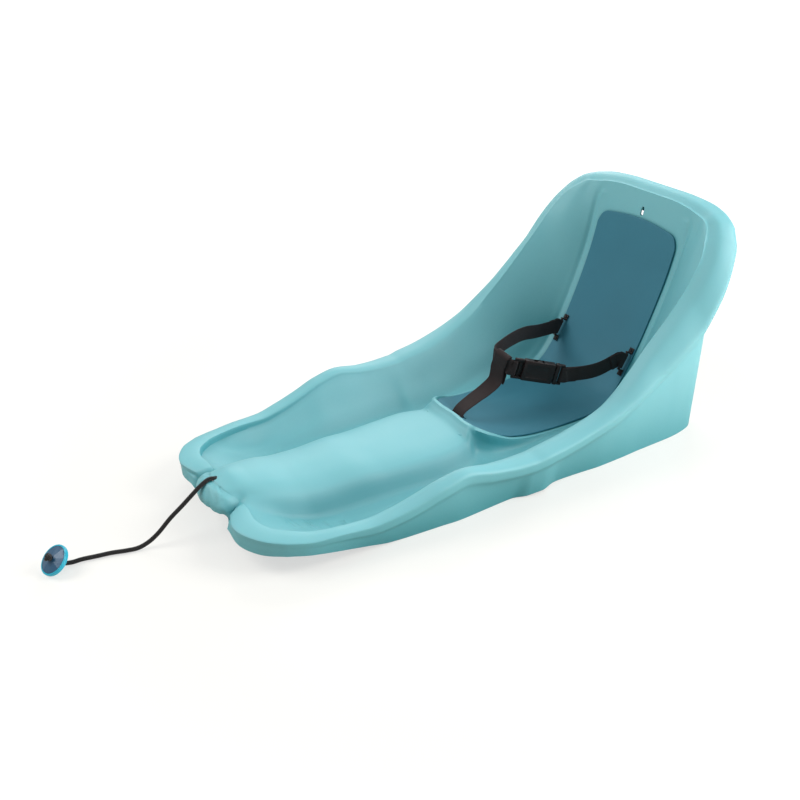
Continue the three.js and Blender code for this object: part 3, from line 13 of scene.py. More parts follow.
import bmesh
import bpy
from bmesh.types import BMEdge, BMesh, BMFace, BMVert
from bpy.types import Material, Mesh, Node, NodeSocket, Object, World
from mathutils import Matrix, Vector
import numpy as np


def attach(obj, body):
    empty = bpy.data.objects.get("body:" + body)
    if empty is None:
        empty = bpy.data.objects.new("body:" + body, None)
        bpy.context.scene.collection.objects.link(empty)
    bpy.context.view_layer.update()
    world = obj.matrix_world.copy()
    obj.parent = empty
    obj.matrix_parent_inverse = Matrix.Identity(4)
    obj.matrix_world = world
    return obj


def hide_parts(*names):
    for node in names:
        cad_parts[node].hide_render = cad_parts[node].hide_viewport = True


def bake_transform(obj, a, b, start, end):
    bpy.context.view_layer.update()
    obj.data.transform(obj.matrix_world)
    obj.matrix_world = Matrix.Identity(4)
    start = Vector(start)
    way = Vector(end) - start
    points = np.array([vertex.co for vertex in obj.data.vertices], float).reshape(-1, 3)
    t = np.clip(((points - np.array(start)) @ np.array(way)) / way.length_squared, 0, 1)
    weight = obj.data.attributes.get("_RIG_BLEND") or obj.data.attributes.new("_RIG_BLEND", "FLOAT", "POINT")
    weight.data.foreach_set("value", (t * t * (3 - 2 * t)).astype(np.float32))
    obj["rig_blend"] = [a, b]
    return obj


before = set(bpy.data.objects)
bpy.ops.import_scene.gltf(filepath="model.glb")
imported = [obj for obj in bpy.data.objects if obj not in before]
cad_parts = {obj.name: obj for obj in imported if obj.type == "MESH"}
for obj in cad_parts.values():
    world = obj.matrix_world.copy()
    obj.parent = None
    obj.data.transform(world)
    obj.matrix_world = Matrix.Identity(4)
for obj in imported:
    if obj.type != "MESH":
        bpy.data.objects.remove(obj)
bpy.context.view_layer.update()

LOG = logging.getLogger("sled")
MM = 0.001

WHITE = (1, 1, 1, 1)
FIT = 0.0003  # the gap between pieces that touch
HULL_WALL = 0.003
SCREW_HOLE_RADIUS = 0.0018
REEL_SHARE = -0.082  # the reel's place along the hull, in shares of its half length

Colour = tuple[float, float, float, float]
Section = list[tuple[float, float]]
Point = tuple[float, float, float]
Block = tuple[Point, Point, float]
Ribbon = list[tuple[Vector, Vector]]
Value = NodeSocket | float | Colour


class Body(Enum):
    """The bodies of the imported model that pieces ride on."""

    HULL = "hull"
    CLIP = "clip"
    ARM_UPPER = "arm_upper"
    ARM_LOWER = "arm_lower"
    DRUM = "drum"
    HANDLE = "handle"


class Slot(Enum):
    """The record's material slots."""

    HULL = "hull"
    LINER = "liner"
    WEBBING = "webbing"
    BUCKLE = "buckle"
    STEEL = "steel"
    CORD = "cord"
    HANDLE_RIM = "handle_rim"
    HANDLE_FACE = "handle_face"
    REEL = "reel"


def linear(red: float, green: float, blue: float) -> Colour:
    """Turns a colour of screen values into the linear one that shaders take.

    Args:
        red: the red value, 0 to 255.
        green: the green value.
        blue: the blue value.

    Returns:
        The linear colour, with its alpha.
    """
    def channel(value: float) -> float:
        """One channel of it."""
        share = value / 255
        return share / 12.92 if share <= 0.04045 else ((share + 0.055) / 1.055) ** 2.4
    return (channel(red), channel(green), channel(blue), 1.0)


def within(share: float) -> float:
    """A share held between 0 and 1."""
    return min(max(share, 0.0), 1.0)


def fade(value: float, start: float, end: float) -> float:
    """A soft step of a value: 0 at the start and before, 1 at the end and past it."""
    share = within((value - start) / (end - start))
    return share * share * (3 - 2 * share)


# Finishes


class NodeSheet:
    """A node tree, with a short call that adds nodes and joins them."""

    def __init__(self, owner: Material | World) -> None:
        """Empties the owner's tree.

        Args:
            owner: the material or world that the tree belongs to.
        """
        owner.use_nodes = True
        self.tree = owner.node_tree
        self.tree.nodes.clear()

    def add(self, kind: str, inputs: dict[str | int, Value] | None = None, **settings: str | int) -> Node:
        """Adds a node.

        Args:
            kind: the node's type name without its ShaderNode start.
            inputs: values or sockets for its inputs, by name or number.
            settings: the node's own settings.

        Returns:
            The node.
        """
        node = self.tree.nodes.new("ShaderNode" + kind)
        for key, value in settings.items():
            setattr(node, key, value)
        for key, value in (inputs or {}).items():
            if isinstance(value, NodeSocket):
                self.tree.links.new(value, node.inputs[key])
            else:
                node.inputs[key].default_value = value
        return node

    def sums(self, operation: str, first: Value, second: Value = 0.0, third: Value = 0.0) -> NodeSocket:
        """One sum of two or three values."""
        return self.add("Math", {0: first, 1: second, 2: third}, operation=operation).outputs[0]


class ShaderSheet(NodeSheet):
    """A material's node tree, with calls for the patterns that the finishes share."""

    def __init__(self, name: str) -> None:
        """Starts an empty material of that name."""
        self.material = bpy.data.materials.new(name)
        super().__init__(self.material)

    def place(self) -> NodeSocket:
        """The point's place on the object."""
        return self.add("TexCoord").outputs["Object"]

    def noise(self, vector: NodeSocket, scale: float, detail: float = 2.0) -> NodeSocket:
        """A soft random value of that scale, to the metre."""
        node = self.add("TexNoise", {"Vector": vector, "Scale": scale, "Detail": detail})
        return node.outputs["Fac"]

    def blend(self, share: Value, first: Value, second: Value) -> NodeSocket:
        """A mix of two colours."""
        node = self.add("Mix", {0: share, 6: first, 7: second}, data_type="RGBA")
        return node.outputs[2]

    def mixed(self, first: Value, second: Value, share: float) -> NodeSocket:
        """Two values added up, the second with this share and the first with the rest."""
        return self.sums("ADD", self.sums("MULTIPLY", first, 1 - share), self.sums("MULTIPLY", second, share))

    def weave(self) -> tuple[NodeSocket, NodeSocket]:
        """The weave map's two values, across or round the piece and along it."""
        split = self.add("SeparateXYZ", {0: self.add("UVMap", uv_map="weave").outputs[0]})
        return split.outputs[0], split.outputs[1]

    def spread(self, value: Value, low: float, high: float) -> NodeSocket:
        """Carries a value of 0 to 1 onto a range."""
        return self.sums("MULTIPLY_ADD", value, high - low, low)

    def bump(self, height: Value, depth: float) -> NodeSocket:
        """A normal from a height of 0 to 1 that stands for a depth in metres."""
        return self.add("Bump", {"Height": height, "Distance": depth, "Strength": 1.0}).outputs["Normal"]

    def close(self, inputs: dict[str | int, Value]) -> Material:
        """Ends the tree in one principled shader.

        Args:
            inputs: the shader's inputs by name.

        Returns:
            The material.
        """
        shader = self.add("BsdfPrincipled", inputs)
        self.add("OutputMaterial", {"Surface": shader.outputs[0]})
        return self.material


class Finish(Protocol):
    """What every finish can do."""

    def material(self) -> Material:
        """The material that dresses a piece."""


@dataclass(frozen=True)
class MouldedPlastic:
    """Moulded plastic: a fine moulding grain, faint flow clouds in its colour and a satin face.

    A piece given a painted shade colour takes it where its surface is closed in, as painted shade in its wells and
    creases. The span is the range of openness from that shade colour to the plain one, and the reach is how far the
    surface looks for neighbours.
    """

    name: str
    colour: Colour
    shade: Colour
    roughness: float = 0.4
    roughness_spread: float = 0.08
    cloud_scale: float = 9.0
    grain_scale: float = 1500.0
    grain_depth: float = 0.00003
    specular: float = 0.5
    subsurface: float = 0.0
    subsurface_reach: float = 0.004
    coat: float = 0.0
    coat_ior: float = 1.6
    painted_shade: Colour | None = None
    painted_shade_reach: float = 0.13
    painted_shade_span: tuple[float, float] = (0.35, 0.97)
    grain_gloss: float = 0.4

    @lru_cache
    def material(self) -> Material:
        """Builds the material once.

        Returns:
            The material.
        """
        sheet = ShaderSheet(self.name)
        place = sheet.place()
        cloud = sheet.noise(place, self.cloud_scale, 3.0)
        grain = sheet.noise(place, self.grain_scale, 2.0)
        wave = sheet.noise(place, self.cloud_scale * 4, 2.0)
        colour = sheet.blend(cloud, self.colour, self.shade)
        # Painted shade: the colour goes towards the shade colour where ambient occlusion finds the surface closed in.
        if self.painted_shade:
            openness = sheet.add("AmbientOcclusion", {"Distance": self.painted_shade_reach}, samples=8).outputs["AO"]
            shut, clear = self.painted_shade_span
            share = sheet.add("MapRange", {"Value": openness, "From Min": shut, "From Max": clear}).outputs[0]
            colour = sheet.blend(share, self.painted_shade, colour)
        low, high = self.roughness - self.roughness_spread, self.roughness + self.roughness_spread
        rough = sheet.spread(sheet.mixed(wave, grain, self.grain_gloss), low, high)
        inputs = {"Base Color": colour, "Roughness": rough, "Specular IOR Level": self.specular,
                  "Normal": sheet.bump(grain, self.grain_depth)}
        if self.coat:
            inputs |= {"Coat Weight": self.coat, "Coat Roughness": self.roughness, "Coat IOR": self.coat_ior}
        if self.subsurface:
            inputs |= {"Subsurface Weight": self.subsurface, "Subsurface Scale": self.subsurface_reach}
        return sheet.close(inputs)


@dataclass(frozen=True)
class FoamSheet:
    """Closed-cell foam with a finely pebbled skin."""

    name: str = "liner_foam"
    colour: Colour = linear(56, 127, 147)
    shade: Colour = linear(50, 115, 134)
    roughness: tuple[float, float] = (0.49, 0.63)
    cell_scale: float = 1300.0
    cell_depth: float = 0.00005
    cloud_scale: float = 14.0
    speckle_scale: float = 700.0
    speckle_share: float = 0.3
    specular: float = 0.4
    sheen: float = 0.08

    @lru_cache
    def material(self) -> Material:
        """Builds the material once.

        Returns:
            The material.
        """
        sheet = ShaderSheet(self.name)
        place = sheet.place()
        cells = sheet.add("TexVoronoi", {"Vector": place, "Scale": self.cell_scale}).outputs["Distance"]
        cloud = sheet.noise(place, self.cloud_scale, 3.0)
        speckle = sheet.noise(place, self.speckle_scale)
        colour = sheet.blend(sheet.mixed(cloud, speckle, self.speckle_share), self.colour, self.shade)
        return sheet.close({"Base Color": colour, "Roughness": sheet.spread(speckle, *self.roughness),
                            "Specular IOR Level": self.specular, "Sheen Weight": self.sheen,
                            "Normal": sheet.bump(cells, self.cell_depth)})


@dataclass(frozen=True)
class Webbing:
    """Woven belt webbing: rows of slanted ribs along it, crossed by the weft, with fuzz in the colour and painted
    shade in the weave's grooves.
    """

    name: str = "belt_webbing"
    colour: Colour = linear(44, 30, 30)
    shade: Colour = linear(20, 12, 12)
    rib_pitch: float = 0.0017
    weft_pitch: float = 0.0011
    weft_slant: float = 0.8
    rib_share: float = 0.35
    depth: float = 0.00022
    fuzz_scale: float = 2400.0
    fuzz_share: float = 0.5
    fuzz_rise: float = 0.25
    painted_weave_shade: float = 0.6
    cloud_scale: float = 30.0
    roughness: tuple[float, float] = (0.62, 0.8)
    specular: float = 0.35
    sheen: float = 0.1
    sheen_roughness: float = 0.45

    @lru_cache
    def material(self) -> Material:
        """Builds the material once. The map's first value runs across the strap and its second along it.

        Returns:
            The material.
        """
        sheet = ShaderSheet(self.name)
        across, along = sheet.weave()
        rib = sheet.sums("SINE", sheet.sums("MULTIPLY", across, math.tau / self.rib_pitch))
        column = sheet.sums("PINGPONG", across, self.rib_pitch)
        slant = sheet.sums("ADD", along, sheet.sums("MULTIPLY", column, self.weft_slant))
        weft = sheet.sums("SINE", sheet.sums("MULTIPLY", slant, math.tau / self.weft_pitch))
        crossed = sheet.sums("MULTIPLY", weft, 1 - self.rib_share)
        height = sheet.spread(sheet.sums("MULTIPLY_ADD", rib, self.rib_share, crossed), 0.5, 1.0)
        place = sheet.place()
        fuzz = sheet.noise(place, self.fuzz_scale, 3.0)
        # Painted shade: the weave's grooves are darker and its ribs lighter; the fuzz is the yarn's own random tone.
        lit = sheet.sums("MULTIPLY_ADD", fuzz, self.fuzz_share, sheet.sums("MULTIPLY", height, self.painted_weave_shade))
        cloud = sheet.noise(place, self.cloud_scale)
        normal = sheet.bump(sheet.sums("MULTIPLY_ADD", fuzz, self.fuzz_rise, height), self.depth)
        return sheet.close({"Base Color": sheet.blend(lit, self.shade, self.colour),
                            "Roughness": sheet.spread(cloud, *self.roughness), "Specular IOR Level": self.specular,
                            "Sheen Weight": self.sheen, "Sheen Roughness": self.sheen_roughness,
                            "Normal": normal})


@dataclass(frozen=True)
class Braid:
    """Braided cord: two sets of strands that cross at a slant round it, with painted shade between them."""

    name: str = "cord_braid"
    colour: Colour = linear(28, 23, 24)
    shade: Colour = linear(8, 7, 7)
    strands: int = 8
    slant_pitch: float = 0.0105
    depth: float = 0.0004
    fuzz_scale: float = 2600.0
    fuzz_share: float = 0.5
    roughness: tuple[float, float] = (0.6, 0.85)
    specular: float = 0.3
    sheen: float = 0.2
    sheen_roughness: float = 0.5

    @lru_cache
    def material(self) -> Material:
        """Builds the material once. The map's first value runs round the cord and its second along it.

        Returns:
            The material.
        """
        sheet = ShaderSheet(self.name)
        around, along = sheet.weave()
        turns = sheet.sums("MULTIPLY", around, float(self.strands))
        rows = sheet.sums("MULTIPLY", along, self.strands / self.slant_pitch)
        strands = []
        for operation in ("ADD", "SUBTRACT"):
            strand = sheet.sums("PINGPONG", sheet.sums(operation, turns, rows), 0.5)
            strands.append(sheet.sums("SINE", sheet.sums("MULTIPLY", strand, math.tau)))
        over = sheet.sums("MAXIMUM", *strands)
        fuzz = sheet.noise(sheet.place(), self.fuzz_scale, 3.0)
        # Painted shade: the colour is darker between the strands and lighter on their crowns; the fuzz is the yarn's
        # own random tone.
        lit = sheet.sums("MULTIPLY_ADD", fuzz, self.fuzz_share, sheet.sums("MULTIPLY", over, 1 - self.fuzz_share))
        return sheet.close({"Base Color": sheet.blend(lit, self.shade, self.colour),
                            "Roughness": sheet.spread(fuzz, *self.roughness), "Specular IOR Level": self.specular,
                            "Sheen Weight": self.sheen, "Sheen Roughness": self.sheen_roughness,
                            "Normal": sheet.bump(over, self.depth)})


@dataclass(frozen=True)
class PlatedSteel:
    """Zinc-plated steel with fine brushed streaks and a faint yellow cast in places."""

    name: str = "plated_steel"
    colour: Colour = linear(196, 199, 203)
    cast: Colour = linear(186, 180, 164)
    roughness: float = 0.32
    roughness_spread: tuple[float, float] = (-0.1, 0.12)
    streak_scale: float = 500.0
    streak_stretch: tuple[float, float, float] = (1.0, 1.0, 14.0)
    streak_depth: float = 0.00001
    cloud_scale: float = 160.0

    @lru_cache
    def material(self) -> Material:
        """Builds the material once.

        Returns:
            The material.
        """
        sheet = ShaderSheet(self.name)
        place = sheet.place()
        stretched = sheet.add("Mapping", {"Vector": place, "Scale": self.streak_stretch}).outputs[0]
        streak = sheet.noise(stretched, self.streak_scale, 3.0)
        colour = sheet.blend(sheet.noise(place, self.cloud_scale), self.colour, self.cast)
        low, high = (self.roughness + spread for spread in self.roughness_spread)
        return sheet.close({"Base Color": colour, "Roughness": sheet.spread(streak, low, high), "Metallic": 1.0,
                            "Normal": sheet.bump(streak, self.streak_depth)})


# The hull's dark, saturated shade colour is painted shade for its wells and creases.
HULL_PLASTIC = MouldedPlastic("hull_plastic", linear(112, 187, 195), linear(106, 182, 190), roughness=0.6,
                              specular=0.9, coat=0.45, painted_shade=linear(18, 138, 148), subsurface=0.05)
BUCKLE_PLASTIC = MouldedPlastic("buckle_plastic", linear(38, 25, 25), linear(29, 19, 19), roughness=0.4, specular=0.3,
                                grain_scale=2600.0, grain_depth=0.00002, cloud_scale=60.0)
RIM_PLASTIC = MouldedPlastic("handle_rim_plastic", linear(40, 182, 208), linear(33, 170, 198), roughness=0.3,
                             cloud_scale=60.0)
FACE_PLASTIC = MouldedPlastic("handle_face_plastic", linear(48, 92, 124), linear(42, 82, 114), roughness=0.36,
                              cloud_scale=60.0)
REEL_PLASTIC = MouldedPlastic("reel_plastic", linear(46, 48, 50), linear(38, 40, 42), roughness=0.5,
                              cloud_scale=40.0)
LINER_FOAM = FoamSheet()
BELT_WEBBING = Webbing()
CORD_BRAID = Braid()
STEEL = PlatedSteel()
DARK_STEEL = PlatedSteel("blackened_steel", linear(58, 57, 58), linear(44, 42, 42), 0.42)


# Curves and surfaces


class SmoothLine:
    """A smooth curve through evenly spaced values that never overshoots them."""

    def __init__(self, values: Sequence[float], level: bool = False) -> None:
        """Works out the slope at each value.

        Args:
            values: the values at 0, 1, 2 and so on.
            level: whether the line starts level, as one does that is mirrored there.
        """
        self.values = list(values)
        steps = [b - a for a, b in zip(self.values, self.values[1:])]
        inner = [2 * a * b / (a + b) if a * b > 0 else 0.0 for a, b in zip(steps, steps[1:])]
        self.slopes = [0.0 if level else steps[0], *inner, steps[-1]]

    def __call__(self, t: float) -> float:
        """The value at a place.

        Args:
            t: the place, where whole numbers are the given values.

        Returns:
            The value there.
        """
        k = min(max(int(math.floor(t)), 0), len(self.values) - 2)
        f = t - k
        rest = 1 - f
        start = self.values[k] * (1 + 2 * f) * rest * rest + self.slopes[k] * f * rest * rest
        end = self.values[k + 1] * f * f * (1 + 2 * rest) - self.slopes[k + 1] * f * f * rest
        return start + end


class RoundedPath:
    """A smooth path through points, measured along its length."""

    def __init__(self, points: Sequence[Vector], samples: int = 60) -> None:
        """Samples the path finely between each two points.

        Args:
            points: the points that the path goes through.
            samples: the places between each two of them.
        """
        ends = [points[0] * 2 - points[1], *points, points[-1] * 2 - points[-2]]
        self.places = [points[0].copy()]
        for before, start, end, after in zip(ends, ends[1:], ends[2:], ends[3:]):
            self.places += [self._between(before, start, end, after, k / samples) for k in range(1, samples + 1)]
        self.lengths = [0.0]
        for first, second in zip(self.places, self.places[1:]):
            self.lengths.append(self.lengths[-1] + (second - first).length)

    @staticmethod
    def _between(before: Vector, start: Vector, end: Vector, after: Vector, t: float) -> Vector:
        """A point between start and end on the curve whose knots are spaced by the root of their distance.

        Args:
            before: the point before start.
            start: the first of the two points.
            end: the second.
            after: the point after end.
            t: the share of the way between the two.

        Returns:
            The point.
        """
        a, b, c = (math.sqrt((q - p).length) for p, q in ((before, start), (start, end), (end, after)))
        leave = ((start - before) / a - (end - before) / (a + b) + (end - start) / b) * b
        arrive = ((end - start) / b - (after - start) / (b + c) + (after - end) / c) * b
        square, cube = t * t, t * t * t
        return (start * (2 * cube - 3 * square + 1) + leave * (cube - 2 * square + t)
                + end * (3 * square - 2 * cube) + arrive * (cube - square))

    @property
    def length(self) -> float:
        """The path's whole length."""
        return self.lengths[-1]

    def spaced(self, count: int) -> list[Vector]:
        """Points at count equal steps of length, both ends among them.

        Args:
            count: the number of steps.

        Returns:
            The points, one more than the steps.
        """
        result, k = [], 0
        for step in range(count + 1):
            target = self.length * step / count
            while k < len(self.lengths) - 2 and self.lengths[k + 1] < target:
                k += 1
            span = self.lengths[k + 1] - self.lengths[k]
            share = within((target - self.lengths[k]) / span) if span else 0.0
            result.append(self.places[k].lerp(self.places[k + 1], share))
        return result


def mirrored(point: Vector) -> Vector:
    """The point on the other side of the middle."""
    return Vector((-point.x, point.y, point.z))


def squared(vector: Vector, against: Vector) -> Vector:
    """The part of a vector square to another, of length 1."""
    return (vector - against * vector.dot(against)).normalized()


def tangent_at(points: Sequence[Vector], k: int) -> Vector:
    """The direction of a line of points at one of them."""
    return (points[min(k + 1, len(points) - 1)] - points[max(k - 1, 0)]).normalized()


def basis(side: Vector, up: Vector, out: Vector, origin: Vector) -> Matrix:
    """A frame from its three directions and its origin."""
    turn = Matrix((side, up, out)).transposed()
    return Matrix.Translation(origin) @ turn.to_4x4()


def along_axis(direction: Vector, origin: Vector) -> Matrix:
    """A frame whose third direction is the one given."""
    return Matrix.Translation(origin) @ Vector((0, 0, 1)).rotation_difference(direction).to_matrix().to_4x4()


@dataclass(frozen=True)
class SkinRow:
    """One row of the hull's skin, from the middle out to the rim's inner edge.

    x is in thousandths of the half width, y of the half length and z of the height.
    """

    x: tuple[int, ...]
    y: tuple[int, ...]
    z: tuple[int, ...]


SKIN_ROWS = (
    # toe rim, toe wall, toes, heel rest front and back
    SkinRow((0, 115, 195, 305, 425, 535, 615), (-950, -935, -905, -895, -900, -880, -835),
            (200, 190, 170, 160, 160, 155, 150)),
    SkinRow((0, 125, 225, 330, 435, 555, 675), (-880, -870, -845, -835, -830, -810, -775),
            (212, 198, 162, 118, 112, 120, 140)),
    SkinRow((0, 130, 255, 365, 465, 585, 710), (-795, -785, -765, -750, -735, -715, -690),
            (200, 188, 145, 62, 55, 78, 135)),
    SkinRow((0, 135, 270, 385, 485, 600, 725), (-690, -690, -675, -665, -650, -630, -600),
            (172, 160, 122, 33, 28, 60, 130)),
    SkinRow((0, 135, 275, 400, 495, 610, 740), (-590, -585, -575, -565, -560, -540, -515),
            (157, 147, 116, 25, 15, 60, 145)),
    # shin front and back, widest point of the rim, thigh, foot of the seat lip
    SkinRow((0, 140, 285, 410, 500, 625, 755), (-495, -490, -480, -470, -460, -445, -425),
            (153, 146, 118, 25, 15, 70, 175)),
    SkinRow((0, 145, 295, 420, 510, 640, 770), (-385, -380, -375, -370, -360, -350, -335),
            (138, 131, 108, 25, 15, 90, 210)),
    SkinRow((0, 150, 310, 440, 520, 650, 780), (-260, -260, -255, -255, -250, -250, -250),
            (129, 124, 104, 25, 15, 95, 225)),
    SkinRow((0, 160, 320, 455, 525, 650, 775), (-140, -140, -140, -140, -140, -140, -140),
            (122, 118, 102, 25, 15, 90, 200)),
    SkinRow((0, 150, 270, 410, 515, 645, 770), (-40, -40, -40, -40, -40, -40, -40),
            (119, 116, 102, 30, 15, 85, 190)),
    # seat lip, front of the seat, seat, middle of the seat, back of the seat
    SkinRow((0, 140, 235, 330, 475, 625, 770), (5, 0, 0, 5, 10, 15, 20),
            (135, 135, 140, 50, 25, 85, 190)),
    SkinRow((0, 160, 315, 390, 485, 630, 775), (60, 60, 60, 60, 65, 70, 75),
            (100, 105, 110, 45, 25, 85, 200)),
    SkinRow((0, 180, 370, 430, 500, 640, 780), (145, 145, 145, 145, 150, 155, 160),
            (65, 70, 75, 40, 35, 100, 215)),
    SkinRow((0, 200, 405, 450, 520, 660, 800), (260, 260, 260, 260, 265, 270, 280),
            (45, 45, 60, 50, 55, 135, 255)),
    SkinRow((0, 205, 415, 465, 540, 675, 815), (390, 390, 390, 390, 385, 380, 375),
            (35, 35, 55, 60, 95, 195, 310)),
    # bend to the back, lumbar, lower back, middle of the back, shoulders, head, back rim
    SkinRow((0, 210, 425, 475, 555, 680, 810), (515, 515, 515, 510, 500, 490, 475),
            (45, 50, 60, 80, 140, 265, 415)),
    SkinRow((0, 210, 430, 485, 565, 685, 800), (615, 615, 615, 605, 595, 575, 560),
            (95, 100, 110, 140, 220, 365, 515)),
    SkinRow((0, 210, 430, 490, 575, 690, 800), (705, 705, 705, 695, 680, 660, 640),
            (240, 240, 250, 285, 370, 495, 610)),
    SkinRow((0, 215, 435, 495, 580, 685, 795), (790, 790, 785, 775, 755, 735, 710),
            (450, 450, 455, 490, 550, 630, 700)),
    SkinRow((0, 220, 445, 500, 580, 675, 775), (855, 855, 855, 840, 820, 800, 780),
            (680, 685, 690, 715, 755, 795, 805)),
    SkinRow((0, 225, 455, 510, 580, 645, 710), (885, 885, 885, 875, 865, 850, 835),
            (850, 850, 855, 870, 885, 895, 890)),
    SkinRow((0, 225, 415, 495, 550, 600, 650), (905, 905, 900, 895, 890, 880, 870),
            (975, 975, 965, 955, 950, 945, 928)),
)


@dataclass(frozen=True)
class RimShares:
    """The rim band and skirt, station by station round the half perimeter from the nose to the back's middle.

    Reaches are outward from the band's inner edge, in thousandths of the half width. The drop, the crown and the
    foot's height are in thousandths of the height. The tuck is how far the skirt's top stands over its foot.
    """

    band_reach: tuple[int, ...] = (
        98, 97, 92, 132, 155, 140, 125,
        105, 95, 105, 115, 120, 120, 110, 135, 165, 175, 180, 180, 170, 165, 175, 185, 195, 205, 215, 222,
        200, 197, 195, 195, 191, 187, 187)
    band_drop: tuple[int, ...] = (
        55, 45, 25, 10, 5, 5, 10,
        10, 5, 5, 5, 10, 10, 5, 5, 5, 5, 5, 5, 10, 25, 60, 100, 125, 140, 95, 45,
        10, 0, -5, -10, -5, 0, 0)
    band_crown: tuple[int, ...] = (
        20, 18, 10, 6, 6, 6, 6,
        6, 6, 8, 10, 15, 15, 15, 15, 15, 15, 15, 15, 15, 20, 25, 30, 30, 30, 30, 30,
        30, 25, 25, 25, 25, 25, 25)
    foot_reach: tuple[int, ...] = (
        -75, -55, 125, 150, 146, 136, 116,
        95, 75, 62, 54, 50, 50, 55, 55, 57, 105, 116, 60, 45, 45, 50, 55, 55, 60, 70, 105,
        95, 70, 50, 35, 25, 20, 15)
    foot_height: tuple[int, ...] = (
        62, 68, 92, 92, 86, 85, 80,
        70, 50, 25, 5, 0, 0, 0, 0, 0, 8, 14, 5, 0, 0, 0, 0, 0, 0, 0, 0,
        0, 0, 0, 0, 0, 0, 0)
    step_depth: tuple[int, ...] = (
        0, 0, 3, 16, 26, 28, 28,
        28, 27, 25, 22, 19, 16, 13, 11, 10, 9, 8, 7, 6, 6, 5, 5, 4, 3, 2, 0,
        0, 0, 0, 0, 0, 0, 0)
    skirt_tuck: tuple[int, ...] = (
        300, 300, 500, 500, 400, 300, 300,
        300, 300, 300, 300, 300, 300, 300, 300, 300, 300, 300, 350, 400, 500, 600, 750, 900, 1000, 1000, 1000,
        1000, 1000, 1000, 1000, 1000, 1000, 1000)


